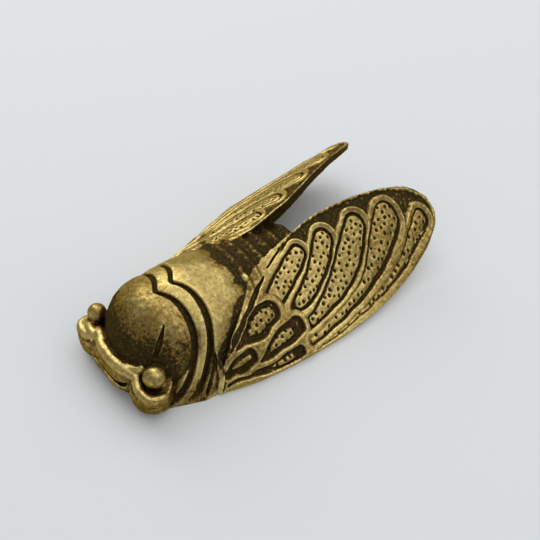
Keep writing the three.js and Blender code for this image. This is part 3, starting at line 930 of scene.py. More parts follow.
    def _outside(
        self, x: np.ndarray, y: np.ndarray, gap: np.ndarray, vein: np.ndarray, plan: np.ndarray
    ) -> np.ndarray:
        """Height outside the upper cells: veins, both rims of the wing and the sunken field between.

        Args:
            x: Distances from the midline.
            y: Places along the body.
            gap: Distances outside the nearest upper cell.
            vein: Width of that cell's vein.
            plan: The places with the drift of the hand in them.

        Returns:
            The height at each place.
        """
        soft = self.rim_soft
        inner = (x - self.ridge_x(y)) / np.hypot(1, self.ridge_x.slope(y))
        outer = (self.edge_x(y) - x) / np.hypot(1, self.edge_x.slope(y))
        outer = np.minimum(outer, self.tip + self.tip_room - y)
        depth, pace = self.ragged_long
        ragged = depth * np.sin(pace * y)
        depth, pace, phase = self.ragged_short
        ragged += depth * np.sin(pace * y + phase) * (y > self.ragged_start)
        start, end = self.field_start
        on_vein = np.maximum(smoothstep(vein + soft, vein - soft, gap), smoothstep(end, start, y))
        on_inner = smoothstep(soft, -soft, inner - self.inner_rim_width(y) - ragged)
        on_outer = smoothstep(soft, -soft, outer - self.outer_rim)
        crown = 1 - (1 - np.minimum(gap / (self.vein_crown * vein), 1.0)) ** 2
        top = mix(Relief.RIM.value, Relief.VEIN.value, crown)
        rim = mix(Relief.FIELD.value, 0.5 * Relief.RIM.value, np.maximum(on_inner, on_outer))
        height = np.maximum(mix(Relief.FIELD.value, top, on_vein), rim)
        for slit in self.slit_spines:
            open_slit = smoothstep(*self.slit_wall, slit.distance(plan)[0])
            height = mix(height, Relief.FIELD.value, open_slit)
        return height

    def _floor(self, gap: np.ndarray, cushion: np.ndarray, radius: np.ndarray) -> np.ndarray:
        """Height inside the upper cells: a moat round a cushioned floor.

        Args:
            gap: Distances outside the cell.
            cushion: Distances outside the cushion.
            radius: Half widths of the cell.

        Returns:
            The height at each place.
        """
        most, share = self.cushion_soft
        soft = np.minimum(most, share * radius)
        rounded = np.maximum(self.cushion_crown * radius, self.least_crown)
        top = mix(Relief.FLOOR_EDGE.value, Relief.FLOOR.value, np.sqrt(np.clip(-cushion / rounded, 0, 1)))
        moat = mix(Relief.FLOOR_EDGE.value, Relief.MOAT.value, smoothstep(*self.moat_radii, radius))
        inside = mix(moat, top, smoothstep(soft, -soft, cushion))
        return mix(Relief.RIM.value, inside, smoothstep(0.0, -self.cell_wall, gap))

    def _lower_floor(self, gap: np.ndarray, cushion: np.ndarray) -> np.ndarray:
        """Height inside a lower cell: a wide moat round a small cushion.

        Args:
            gap: Distances outside the cell.
            cushion: Distances outside the cushion.

        Returns:
            The height at each place.
        """
        reach, width = self.lower_crown
        crown = np.sqrt(np.clip(reach - cushion, 0, width) / width)
        edge, middle = self.lower_sink
        top = mix(Relief.FLOOR_EDGE.value - edge, Relief.FLOOR.value - middle, crown)
        inside = mix(Relief.MOAT.value, top, smoothstep(self.lower_soft, -self.lower_soft, cushion))
        return mix(Relief.VEIN.value, inside, smoothstep(self.lower_rim, -self.lower_soft, gap))


@dataclass
class Roots:
    """Knobs where the wings leave the body, and one lump of metal left beside a wing, in millimetres."""

    knob: tuple[Quad, ...] = (
        (7.3, -12.0, 4.6, 0.2), (7.7, -12.2, 3.8, 0.36), (8.15, -12.3, 3.1, 0.44),
        (8.6, -12.45, 2.3, 0.48), (9.0, -12.8, 1.3, 0.55), (9.15, -13.1, 0.3, 0.6),
    )
    lump: Triple = (3.36, -4.52, 8.36)
    lump_radius: float = 0.42
    lump_squash: float = 0.8
    lump_faces: Counts = (24, 14)
    knob_faces: Counts = (32, 40)

    def build(self, bm: bmesh.types.BMesh) -> None:
        """Adds a knob on each side, and the lump.

        Args:
            bm: Mesh to add to.
        """
        rows = tuple((float(i), *row) for i, row in enumerate(self.knob))
        course = [Course(rows, 1 + k) for k in range(4)]
        for side in (1, -1):

            def place(around: np.ndarray, along: np.ndarray) -> np.ndarray:
                """Points on the knob, from its top to its foot.

                Args:
                    around: Shares of the way round the tube.
                    along: Shares of the way along it.

                Returns:
                    The points, one a row.
                """
                at = along * (len(rows) - 1)
                radius = course[3](at)
                x = course[0](at) + radius * np.cos(2 * np.pi * around)
                y = course[1](at) + radius * np.sin(2 * np.pi * around)
                return np.column_stack([side * x, y, course[2](at)])

            wrapped_sheet(bm, *self.knob_faces, place)
        add_ball(bm, self.lump_faces, self.lump_radius, (1.0, 1.0, self.lump_squash), self.lump)


@dataclass
class Carving:
    """One carved line or pit: a row of balls that the tool sinks into the skin, in millimetres."""

    stations: tuple[Quad, ...]
    depth: float
    both_sides: bool = False
    samples: int = 24
    wall: float = 0.12
    foot: Pair = (0.05, 0.5)

    def sink(self, points: np.ndarray) -> np.ndarray:
        """Depth of the carving at each place on the skin.

        Args:
            points: Places on the skin.

        Returns:
            The depth, 0 away from the carving.
        """
        spine = Spine(self.stations, self.samples)
        gap = spine.distance(points)[0]
        if self.both_sides:
            gap = np.minimum(gap, spine.distance(points * (-1, 1, 1))[0])
        return self.depth * smoothstep(self.wall, -self.wall, gap) * smoothstep(*self.foot, points[:, 2])


CARVINGS = (
    # Creases between the collar's foot and the wing's root
    Carving(
        (
            (7.55, -12.3, 4.2, 0.06), (7.87, -12.76, 3.41, 0.14), (8.2, -13.35, 2.43, 0.2),
            (8.5, -14.0, 1.56, 0.22), (8.7, -14.7, 0.5, 0.2),
        ),
        0.34,
        True,
    ),
    Carving(
        (
            (8.6, -12.1, 2.78, 0.03), (9.05, -12.25, 2.04, 0.1), (9.6, -12.7, 1.29, 0.14),
            (9.8, -13.2, 0.4, 0.14),
        ),
        0.34,
        True,
    ),
    # Pits in the dome
    Carving(((0.6, -17.6, 9.6, 0.05), (0.66, -17.66, 9.55, 0.05)), 0.08),
    Carving(((0.6, -18.09, 9.21, 0.06), (0.8, -18.15, 9.15, 0.04)), 0.08),
    Carving(((2.62, -18.94, 7.54, 0.06), (2.75, -18.85, 7.55, 0.06)), 0.12),
    Carving(((4.02, -18.29, 7.15, 0.07), (4.1, -18.15, 7.2, 0.05)), 0.12),
    # Slits on the dome
    Carving(
        (
            (3.6, -15.9, 9.3, 0.04), (4.13, -16.75, 8.5, 0.2), (4.38, -17.3, 7.8, 0.28),
            (4.55, -18.1, 6.6, 0.16),
        ),
        0.42,
        True,
    ),
    # Mouth line, the pits at its corners, and the notch beside the right lobe
    Carving(
        (
            (-2.6, -21.9, 2.85, 0.06), (-1.3, -22.0, 2.85, 0.12), (1.3, -22.0, 2.85, 0.14),
            (2.4, -21.9, 2.85, 0.12),
        ),
        0.3,
    ),
    Carving(((2.3, -22.0, 2.9, 0.1), (2.75, -21.75, 2.9, 0.28), (3.1, -21.5, 3.1, 0.2)), 0.34, True),
    Carving(((-3.2, -21.6, 4.1, 0.08), (-3.1, -21.95, 3.5, 0.16), (-2.95, -22.15, 2.7, 0.18)), 0.35),
    # Pit in the collar
    Carving(((1.94, -11.99, 9.9, 0.1), (1.98, -11.9, 9.9, 0.1)), 0.2),
    # Hollow behind the collar
    Carving(
        (
            (6.1, -11.7, 6.9, 0.25), (6.8, -12.15, 5.5, 0.38), (7.3, -12.8, 4.1, 0.45),
            (7.7, -13.6, 3.0, 0.4), (8.0, -14.3, 2.0, 0.3),
        ),
        0.3,
        True,
    ),
    # Short creases in the collar's foot
    Carving(((7.78, -14.99, 2.7, 0.05), (8.0, -15.4, 1.9, 0.1), (8.15, -15.7, 1.0, 0.08)), 0.28, True),
    Carving(((8.0, -14.5, 2.2, 0.08), (8.25, -15.0, 1.4, 0.12), (8.43, -15.37, 0.7, 0.1)), 0.3, True),
    Carving(((8.47, -14.05, 1.75, 0.1), (8.7, -14.5, 1.0, 0.14), (8.85, -14.9, 0.2, 0.12)), 0.3, True),
    # Scratch under the left lobe
    Carving(((7.2, -21.35, 2.75, 0.03), (7.6, -20.9, 2.75, 0.05), (7.9, -20.3, 2.75, 0.03)), 0.12),
)


@dataclass
class BodyPatinaAndShade:
    """Patina that hands never polish off the body, with painted shade on its low, steep and downward faces
    and over the thorax: shares from 0, bright, to 1, black.

    Places and heights are in millimetres, and a pair of limits is where a soft edge starts and ends.
    """

    thorax_edge: tuple[Pair, ...] = (
        (0.0, -6.1), (0.65, -6.4), (1.45, -5.67), (2.76, -5.64), (3.28, -6.26), (3.85, -5.56),
        (4.44, -5.72), (4.81, -7.07), (5.59, -8.28), (6.44, -9.42), (7.05, -11.02), (7.6, -12.5),
    )
    abdomen: float = 0.97
    rib_wear: float = 0.24
    edge_blur: Pair = (-0.15, 0.15)
    thorax: float = 0.12
    thorax_rear: float = 0.22
    thorax_fade: Pair = (-1.6, 0.0)
    thorax_front: float = -14.0
    underside: float = 0.7
    underside_tilt: Pair = (0.0, -0.5)
    underside_front: float = -15.0
    wall: float = 0.45
    wall_tilt: Pair = (0.55, 0.2)
    wall_front: float = -6.0
    dome_least: float = 0.3
    dome_limits: Pair = (1.04, 1.01)
    dome_rear: float = -12.0
    brow: float = 0.68
    brow_heights: Pair = (10.0, 6.9)
    brow_places: Pair = (-14.6, -18.0)
    cheek: float = 0.62
    cheek_heights: Pair = (10.0, 6.8)
    socket_radii: Pair = (1.55, 1.3)
    socket_heights: Pair = (4.3, 3.6)
    face_least: float = 0.1
    face: float = 0.3
    face_heights: Pair = (4.4, 3.6)
    face_rear: float = -17.0
    foot: float = 0.5
    foot_heights: Pair = (4.4, 1.2)
    foot_span: Pair = (-17.0, -11.0)
    eye: float = 0.3
    eye_shell: Pair = (0.12, 0.02)
    eye_floor: Pair = (0.9, 0.5)
    lump_shell: float = 0.1

    def cover(
        self, points: np.ndarray, normals: np.ndarray, trunk: Trunk, head: Head, roots: Roots
    ) -> np.ndarray:
        """Patina and painted shade of every point of the body.

        Args:
            points: Places on the skin.
            normals: Directions out of the skin.
            trunk: Gives the ribs.
            head: Gives the dome, the sockets and the eyes.
            roots: Gives the lump, which stays bright.

        Returns:
            The share of patina and painted shade at each place.
        """
        y, z = points[:, 1], points[:, 2]
        behind = y - Course(self.thorax_edge, 1)(np.abs(points[:, 0]))
        crest = np.clip(trunk.rib(y) / trunk.rib_rise, 0, 1) ** 2
        thorax = self.thorax + self.thorax_rear * smoothstep(*self.thorax_fade, behind)
        zones = [
            (self.abdomen - self.rib_wear * crest) * smoothstep(*self.edge_blur, behind),
            # Patina with painted shade: faces that turn downwards darken
            self.underside * smoothstep(*self.underside_tilt, normals[:, 2]) * (y > self.underside_front),
            # Patina with painted shade: steep faces of the abdomen and the wings' inner walls darken
            self.wall * smoothstep(*self.wall_tilt, normals[:, 2]) * (y > self.wall_front),
            # Faint patina over the thorax, also painted shade that dims its lit top; it deepens towards the
            # abdomen
            thorax * (y > self.thorax_front),
            self._on_dome(points, head),
            self._in_sockets(points, head),
            # Patina of the face, with painted shade that darkens it low down
            (self.face * smoothstep(*self.face_heights, z) + self.face_least) * (y < self.face_rear),
            # Patina with painted shade: the collar's foot darkens towards the floor
            self.foot * smoothstep(*self.foot_heights, z) * (y > self.foot_span[0]) * (y < self.foot_span[1]),
        ]
        on_eyes = self._on_eyes(points, head)
        lump = np.linalg.norm(points - np.array(roots.lump), axis=1)
        on_lump = smoothstep(roots.lump_radius + self.lump_shell, roots.lump_radius, lump)
        bright = np.maximum(on_eyes, on_lump)
        return np.maximum(np.maximum.reduce(zones) * (1 - bright), self.eye * on_eyes)

    def _on_dome(self, points: np.ndarray, head: Head) -> np.ndarray:
        """Patina of the dome with painted shade: darkest low on its front and its cheeks.

        Args:
            points: Places on the skin.
            head: Gives the places and sizes.

        Returns:
            The share of patina and painted shade, 0 off the dome.
        """
        y, z = points[:, 1], points[:, 2]
        out = np.linalg.norm((points - np.array(head.dome_centre)) / np.array(head.dome_radii), axis=1)
        there = smoothstep(*self.dome_limits, out) * (y < self.dome_rear)
        # Painted shade with the patina: the low front of the dome and its cheeks darken
        low_front = smoothstep(*self.brow_heights, z) * smoothstep(*self.brow_places, y)
        brow = self.dome_least + self.brow * low_front
        return there * np.maximum(brow, self.cheek * smoothstep(*self.cheek_heights, z))

    def _in_sockets(self, points: np.ndarray, head: Head) -> np.ndarray:
        """Patina of the hollows round the eyes, up to black.

        Args:
            points: Places on the skin.
            head: Gives the places and sizes.

        Returns:
            The share of patina, 0 outside the hollows.
        """
        x, y, z = points.T
        (left_x, left_y), (right_x, right_y) = (head.lobe_middle(side) for side in (1, -1))
        nearest = np.minimum(np.hypot(x - left_x, y - left_y), np.hypot(x + right_x, y - right_y))
        return smoothstep(*self.socket_radii, nearest) * smoothstep(*self.socket_heights, z)

    def _on_eyes(self, points: np.ndarray, head: Head) -> np.ndarray:
        """Share of each place that belongs to an eyeball above its socket.

        Args:
            points: Places on the skin.
            head: Gives the places and sizes.

        Returns:
            The share, 1 on an eyeball and 0 away from it.
        """
        x, y, z = points.T
        x_eye, y_eye, z_eye = head.eye
        out = np.linalg.norm(np.column_stack([np.abs(x) - x_eye, y - y_eye, z - z_eye]), axis=1)
        radius = np.where(x > 0, head.eye_radius_left, head.eye_radius_right)
        outer, inner = self.eye_shell
        low, high = self.eye_floor
        return smoothstep(radius + outer, radius + inner, out) * smoothstep(z_eye - low, z_eye - high, z)


@dataclass
class Casting:
    """The whole cicada as one cast skin."""

    trunk: Trunk = field(default_factory=Trunk)
    head: Head = field(default_factory=Head)
    wings: Wings = field(default_factory=Wings)
    roots: Roots = field(default_factory=Roots)
    body_patina_and_shade: BodyPatinaAndShade = field(default_factory=BodyPatinaAndShade)
    voxel: float = 0.09
    relax: int = 6
    softness: float = 0.5
    cavity_reach: int = 14
    cavity_full: float = 0.035
    face_budget: int = 196000
    floor_snap: float = 0.06
    groove_half_width: Pair = (0.2, 0.4)
    groove_widening: Pair = (0.0, 5.5)
    groove_edge: Pair = (0.1, 0.12)
    groove_depth: float = 0.5
    shoulder_depth: float = 0.06
    shoulder_width: float = 0.8
    groove_heights: Pair = (0.1, 1.4)
    groove_least_patina: float = 0.5
    wing_seeds: tuple[Counts, ...] = ((1, 11), (-1, 29))
    wing_overlap: float = 0.02
    wing_reach: Pair = (0.5, 0.3)
    wing_tilt: float = 0.1
    wing_patina: float = 0.18
    tip_patina: float = 0.16
    tip_fade: Pair = (2.0, 14.0)
    root_patina: float = 0.16
    root_fade: Pair = (1.0, -4.0)
    dirt_patina: float = 0.92
    right_wing_patina: float = 0.16
    right_wing_wear: float = 0.7
    body_half_width: float = 9.0
    unevenness: float = 0.035
    wave_lengths: tuple[float, ...] = (4.1, 3.2, 2.6, 2.1, 1.7, 1.3, 1.1, 0.9)
    wave_seed: int = 5
    wave_gain: float = 1.5
    pitting: float = 0.03
    pit_lengths: tuple[float, ...] = (0.85, 0.75, 0.66, 0.58, 0.51, 0.45, 0.4, 0.36)
    pit_seed: int = 9
    clean_pitting: float = 0.4
    uneven_heights: Pair = (0.1, 0.6)
    base_height: float = 0.12
    base_tilt: float = -0.5

    def build(self) -> bpy.types.Object:
        """Builds the casting as one mesh object with its patina and painted shade stored on the vertices.

        Returns:
            The finished object.
        """
        skin = self._fused()
        points, normals = self._read(skin)
        log.info("fused skin: %d points", len(points))
        relief, patina_and_shade = self._carve(points, normals)
        points = points + normals * relief[:, None]
        skin.vertices.foreach_set("co", points.ravel())
        exposed = self._exposure(skin)
        # The stored share holds patina and painted shade
        for name, value in (("patina_and_shade", patina_and_shade), ("exposed", exposed)):
            skin.attributes.new(name, "FLOAT", "POINT").data.foreach_set("value", value)
        skin = self._thinned(skin)
        return self._finished(skin)

    def _exposure(self, skin: bpy.types.Mesh) -> np.ndarray:
        """How far each point stands out of its surroundings: 1 on crests, -1 in hollows.

        Args:
            skin: The carved skin.

        Returns:
            The exposure of each point.
        """
        points, normals = self._read(skin)
        smoothing = ("SMOOTH", {"factor": self.softness, "iterations": self.cavity_reach})
        soft = self._worked(skin.copy(), smoothing)
        levelled, _ = self._read(soft)
        bpy.data.meshes.remove(soft)
        rise = np.sum((points - levelled) * normals, axis=1)
        return np.clip(rise / self.cavity_full, -1, 1)

    def _fused(self) -> bpy.types.Mesh:
        """Joins the forms into one skin and softens it as a casting is.

        Returns:
            The plain skin.
        """
        bm = bmesh.new()
        self.trunk.build(bm)
        self.head.build(bm)
        self.roots.build(bm)
        for side in (1, -1):
            self.wings.build(bm, side)
        bmesh.ops.recalc_face_normals(bm, faces=bm.faces[:])
        rough = bpy.data.meshes.new("forms")
        bm.to_mesh(rough)
        bm.free()
        return self._worked(
            rough,
            ("REMESH", {"mode": "VOXEL", "voxel_size": self.voxel}),
            ("SMOOTH", {"factor": self.softness, "iterations": self.relax}),
        )

    @staticmethod
    def _worked(mesh: bpy.types.Mesh, *steps: tuple[str, dict[str, object]]) -> bpy.types.Mesh:
        """A new mesh: the given one after a row of modifiers.

        Args:
            mesh: Mesh to start from, removed afterwards.
            steps: Kind and settings of each modifier.

        Returns:
            The mesh that the last modifier leaves.
        """
        holder = bpy.data.objects.new("holder", mesh)
        bpy.context.scene.collection.objects.link(holder)
        for kind, settings in steps:
            modifier = holder.modifiers.new(kind.lower(), kind)
            for name, value in settings.items():
                setattr(modifier, name, value)
        graph = bpy.context.evaluated_depsgraph_get()
        made = bpy.data.meshes.new_from_object(holder.evaluated_get(graph))
        bpy.data.objects.remove(holder)
        bpy.data.meshes.remove(mesh)
        return made

    @staticmethod
    def _read(mesh: bpy.types.Mesh) -> tuple[np.ndarray, np.ndarray]:
        """Points and normals of a mesh, one a row.

        Args:
            mesh: Mesh to read.

        Returns:
            The points and the normals.
        """
        count = len(mesh.vertices)
        points, normals = np.empty(count * 3), np.empty(count * 3)
        mesh.vertices.foreach_get("co", points)
        mesh.vertex_normals.foreach_get("vector", normals)
        return points.reshape(-1, 3), normals.reshape(-1, 3)

    def _carve(self, points: np.ndarray, normals: np.ndarray) -> tuple[np.ndarray, np.ndarray]:
        """Relief, patina and painted shade of every point.

        Args:
            points: Places on the plain skin.
            normals: Directions out of the skin.

        Returns:
            How far each point moves along its normal, and its patina with painted shade, from 0, bright, to
            1, black.
        """
        relief, patina_and_shade, on_wing = self._carve_wings(points, normals)
        body = (1 - on_wing) * (np.abs(points[:, 0]) < self.body_half_width)
        half_width = mix(*self.groove_half_width, smoothstep(*self.groove_widening, np.abs(points[:, 0])))
        outside, inside = self.groove_edge
        for line in (self.trunk.collar_front, self.trunk.collar_back):
            gap = np.abs(self.trunk.groove(points, normals, line))
            cut = smoothstep(half_width + outside, half_width - inside, gap)
            shoulder = np.exp(-((gap / self.shoulder_width) ** 2))
            above = smoothstep(*self.groove_heights, points[:, 2])
            relief -= body * (self.groove_depth * cut + self.shoulder_depth * shoulder) * above
            least = self.groove_least_patina
            patina_and_shade = np.maximum(patina_and_shade, body * cut * (least + (1 - least) * above))
        for carving in CARVINGS:
            sink = carving.sink(points)
            relief -= sink
            patina_and_shade = np.maximum(patina_and_shade, np.clip(sink / carving.depth, 0, 1))
        # Patina of the body, with painted shade on its low, steep and downward faces
        cover = self.body_patina_and_shade.cover(points, normals, self.trunk, self.head, self.roots)
        patina_and_shade = np.maximum(patina_and_shade, body * cover)
        waves = self.unevenness * self._waves(points, self.wave_lengths, self.wave_seed)
        pits = self.pitting * self._waves(points, self.pit_lengths, self.pit_seed)
        uneven = waves + pits * (self.clean_pitting + patina_and_shade)
        relief += uneven * smoothstep(*self.uneven_heights, points[:, 2])
        relief[(points[:, 2] < self.base_height) & (normals[:, 2] < self.base_tilt)] = 0
        return relief, patina_and_shade

    def _carve_wings(
        self, points: np.ndarray, normals: np.ndarray
    ) -> tuple[np.ndarray, np.ndarray, np.ndarray]:
        """Relief and patina of the wings' upper faces.

        Args:
            points: Places on the plain skin.
            normals: Directions out of the skin.

        Returns:
            The relief and the patina, both 0 off the wings, and the share that belongs to a wing.
        """
        relief, patina_and_shade, on_wing = (np.zeros(len(points)) for _ in range(3))
        for side, seed in self.wing_seeds:
            across, y = points[:, 0] * side, points[:, 1]
            share = self.wings.share(across, y, side)
            gap = np.abs(points[:, 2] - self.wings.height(share, y))
            here = (share > -self.wing_overlap) & (share < 1 + self.wing_overlap) & (y > self.wings.root)
            here &= (across > 0) & (gap < self.wing_reach[0]) & (normals[:, 2] > self.wing_tilt)
            index = np.flatnonzero(here)
            y = y[index]
            plan_x = mix(*self.wings.span(y, 1), share[index])
            wear = self.right_wing_wear if side < 0 else 1.0
            height, dirt = self.wings.relief(plan_x, y, self.wings.punches(seed))
            weight = smoothstep(*self.wing_reach, gap[index])
            relief[index] = height * wear * weight
            on_wing[index] = weight
            ends = self.tip_patina * smoothstep(*self.tip_fade, y)
            ends += self.root_patina * smoothstep(*self.root_fade, y)
            base = self.wing_patina + ends if side > 0 else self.right_wing_patina
            patina_and_shade[index] = (base + (self.dirt_patina - base) * dirt * wear) * weight
        return relief, patina_and_shade, on_wing

    def _waves(self, points: np.ndarray, lengths: tuple[float, ...], seed: int) -> np.ndarray:
        """Unevenness between about -1 and 1 from crossing waves.

        Args:
            points: Places on the skin.
            lengths: Wavelength of each wave, in millimetres.
            seed: Start of the draw of their directions.

        Returns:
            The height of the unevenness at each place.
        """
        draw = random.Random(seed)
        total = np.zeros(len(points))
        for length in lengths:
            way = Vector((draw.gauss(0, 1), draw.gauss(0, 1), draw.gauss(0, 1))).normalized()
            phase = draw.uniform(0, 2 * math.pi)
            total += np.sin(points @ np.array(way) * 2 * np.pi / length + phase) * length
        return self.wave_gain * total / sum(lengths)

    def _thinned(self, mesh: bpy.types.Mesh) -> bpy.types.Mesh:
        """Thins the skin to its face budget, where it is flattest first.

        Args:
            mesh: The carved skin, removed afterwards.

        Returns:
            The thinner skin.
        """
        faces = sum(len(polygon.vertices) - 2 for polygon in mesh.polygons)
        ratio = min(1.0, self.face_budget / faces)
        return self._worked(mesh, ("DECIMATE", {"decimate_type": "COLLAPSE", "ratio": ratio}))

    def _finished(self, mesh: bpy.types.Mesh) -> bpy.types.Object:
        """Fits the skin into the solid's box, in metres, and makes the object.

        Args:
            mesh: The thinned skin, in millimetres.

        Returns:
            The object, linked to the scene.
        """
        points, _ = self._read(mesh)
        low, high = (np.array(corner) / MILLIMETRE for corner in CAD_BOX)
        points = np.clip(points, low, high)
        points[points[:, 2] < self.floor_snap, 2] = 0.0
        mesh.vertices.foreach_set("co", (points * MILLIMETRE).ravel())
        mesh.polygons.foreach_set("use_smooth", np.ones(len(mesh.polygons), dtype=bool))
        mesh.update()
        mesh.name = PIECE
        piece = bpy.data.objects.new(PIECE, mesh)
        bpy.context.scene.collection.objects.link(piece)
        return piece


class Number:
    """A number socket that Python's operators work on, each adding one Math node."""

    def __init__(self, bench: "Bench", socket: bpy.types.NodeSocket) -> None:
        """Wraps a socket of one material."""
        self.bench = bench
        self.socket = socket

    def _math(self, operation: str, *values: "Number | float") -> "Number":
        """Adds a Math node that works on the given values."""
        inputs = {i: value for i, value in enumerate(values)}
        return Number(self.bench, self.bench.node("Math", {"operation": operation}, inputs).outputs[0])

    def __add__(self, other: "Number | float") -> "Number":
        """Sum."""
        return self._math("ADD", self, other)

    __radd__ = __add__

    def __sub__(self, other: "Number | float") -> "Number":
        """Difference."""
        return self._math("SUBTRACT", self, other)

    def __rsub__(self, other: float) -> "Number":
        """Difference from a plain number."""
        return self._math("SUBTRACT", other, self)

    def __mul__(self, other: "Number | float") -> "Number":
        """Product."""
        return self._math("MULTIPLY", self, other)

    __rmul__ = __mul__

    def between(self, low: float, high: float) -> "Number":
        """Soft step from 0 at low to 1 at high.

        Args:
            low: Value that gives 0.
            high: Value that gives 1.

        Returns:
            The step.
        """
        settings = {"interpolation_type": "SMOOTHSTEP"}
        inputs = {"Value": self, "From Min": low, "From Max": high}
        return Number(self.bench, self.bench.node("MapRange", settings, inputs).outputs[0])


class Bench:
    """Makes the nodes of one material."""

    def __init__(self, name: str) -> None:
        """Starts an empty material.

        Args:
            name: Name of the material.
        """
        self.material = bpy.data.materials.new(name)
        self.material.use_nodes = True
        self.tree = self.material.node_tree
        self.tree.nodes.clear()

    def node(
        self, kind: str, settings: dict[str, object], inputs: dict[str | int, object]
    ) -> bpy.types.Node:
        """Adds one node.

        Args:
            kind: Node type without its prefix.
            settings: Properties of the node, set before its inputs.
            inputs: Values or links by socket name or number.

        Returns:
            The node.
        """
        made = self.tree.nodes.new("ShaderNode" + kind)
        for name, value in settings.items():
            setattr(made, name, value)
        for name, value in inputs.items():
            source = value.socket if isinstance(value, Number) else value
            if isinstance(source, bpy.types.NodeSocket):
                self.tree.links.new(source, made.inputs[name])
            else:
                made.inputs[name].default_value = source
        return made

    def attribute(self, name: str) -> Number:
        """A float that the mesh stores on its points."""
        return Number(self, self.node("Attribute", {"attribute_name": name}, {}).outputs["Fac"])

    def place(self) -> bpy.types.NodeSocket:
        """Object coordinates, in metres."""
        return self.node("TexCoord", {}, {}).outputs["Object"]

    def grain(self, per_millimetre: float, detail: float, roughness: float) -> Number:
        """Even noise with a mean of about a half.

        Args:
            per_millimetre: Spots in a millimetre.
            detail: How many finer layers it has.
            roughness: Strength of the finer layers.

        Returns:
            The noise.
        """
        scale = per_millimetre / MILLIMETRE
        inputs = {"Vector": self.place(), "Scale": scale, "Detail": detail, "Roughness": roughness}
        return Number(self, self.node("TexNoise", {"noise_dimensions": "3D"}, inputs).outputs["Fac"])

    def strokes(self, stretch: Triple, detail: float, roughness: float) -> Number:
        """Fine brushed scratches that run along the body.

        Args:
            stretch: Spots in a metre along each axis.
            detail: How many finer layers it has.
            roughness: Strength of the finer layers.

        Returns:
            The noise.
        """
        vectors = {0: self.place(), 1: stretch}
        place = self.node("VectorMath", {"operation": "MULTIPLY"}, vectors).outputs[0]
        inputs = {"Vector": place, "Scale": 1.0, "Detail": detail, "Roughness": roughness}
        return Number(self, self.node("TexNoise", {"noise_dimensions": "3D"}, inputs).outputs["Fac"])

    def finish(self, shader: bpy.types.Node) -> None:
        """Leads the shader to the material's surface."""
        surface = self.node("OutputMaterial", {}, {}).inputs["Surface"]
        self.tree.links.new(shader.outputs[0], surface)

    def blend(self, share: Number, first: object, second: object) -> bpy.types.NodeSocket:
        """Mix of two colours, given as values or links."""
        settings = {"data_type": "RGBA", "blend_type": "MIX", "clamp_factor": True}
        return self.node("Mix", settings, {0: share, 6: first, 7: second}).outputs[2]


@dataclass(frozen=True)
class AgedBrass:
    """Worn golden brass over a brown-black patina that also serves as painted shade, as linear colours.

    Each grain is its number of spots per millimetre, its detail and its roughness, and the heights
    are shares of grain_depth, which is in metres.
    """

    worn: Quad = (0.75, 0.59, 0.218, 1.0)
    dull: Quad = (0.22, 0.142, 0.038, 1.0)
    # Brown-black of the patina, also laid as painted shade
    dark: Quad = (0.038, 0.0245, 0.0075, 1.0)
    dust: Quad = (0.18, 0.122, 0.042, 1.0)
    edge_tint: Quad = (0.75, 0.6, 0.35, 1.0)
    worn_roughness: float = 0.24
    dark_roughness: float = 0.58
    metal_loss: float = 0.12
    fine: Triple = (4.8, 5.0, 0.7)
    mid: Triple = (1.9, 3.0, 0.6)
    broad: Triple = (0.45, 2.0, 0.5)
    speck: Triple = (7.0, 3.0, 0.6)
    stroke_stretch: Triple = (5000.0, 900.0, 5000.0)
    stroke_grain: Pair = (3.0, 0.6)
    mottling: Quad = (1.3, 1.1, 0.4, 0.3)
    mottled_patina: Pair = (1.3, 0.4)
    exposure_wear: float = 0.3
    cover_limits: Pair = (0.36, 0.76)
    tarnish_limits: Pair = (-0.35, 0.45)
    dust_limits: Pair = (0.5, 0.7)
    dust_share: float = 0.8
    gloss_change: Pair = (0.1, 0.15)
    grain_height: float = 0.5
    speck_height: Pair = (0.9, 0.3)
    stroke_height: float = 0.25
    cover_sink: float = 0.25
    grain_depth: float = 0.00007
    grain_strength: float = 0.7

    def make(self) -> bpy.types.Material:
        """Builds the material.

        Returns:
            The material.
        """
        bench = Bench(SLOT)
        # The stored share: patina, and painted shade on low, steep and downward faces
        stored, exposed = bench.attribute("patina_and_shade"), bench.attribute("exposed")
        fine, mid, broad = bench.grain(*self.fine), bench.grain(*self.mid), bench.grain(*self.broad)
        speck = bench.grain(*self.speck)
        strokes = bench.strokes(self.stroke_stretch, *self.stroke_grain)
        by_fine, by_mid, by_broad, by_strokes = self.mottling
        mottle = (fine - 0.5) * by_fine + (mid - 0.5) * by_mid
        mottle = mottle + (broad - 0.5) * by_broad + (strokes - 0.5) * by_strokes
        on_patina, everywhere = self.mottled_patina
        level = stored - exposed * self.exposure_wear + mottle * (stored * on_patina + everywhere)
        cover, tarnish = level.between(*self.cover_limits), level.between(*self.tarnish_limits)
        metal = bench.blend(tarnish, self.worn, self.dull)
        # Brown-black coat with dust specks: the patina, and painted shade where the stored share holds it
        patina_and_shade_colour = bench.blend(speck.between(*self.dust_limits) * self.dust_share, self.dark, self.dust)
        colour = bench.blend(cover, metal, patina_and_shade_colour)
        on_cover, on_metal = self.speck_height
        height = fine * self.grain_height + mid * self.grain_height
        height = height + speck * (cover * on_cover + on_metal)
        height = height + strokes * self.stroke_height - cover * self.cover_sink
        grain = {"Strength": self.grain_strength, "Distance": self.grain_depth, "Height": height}
        by_tarnish, by_grain = self.gloss_change
        roughness = cover * (self.dark_roughness - self.worn_roughness) + tarnish * by_tarnish
        inputs = {
            "Base Color": colour,
            "Metallic": 1 - cover * self.metal_loss,
            "Specular Tint": self.edge_tint,
            "Roughness": roughness + (fine - 0.5) * by_grain + self.worn_roughness,
            "Normal": bench.node("Bump", {}, grain).outputs["Normal"],
        }
        shader = bench.node("BsdfPrincipled", {}, inputs)
        bench.finish(shader)
        return bench.material


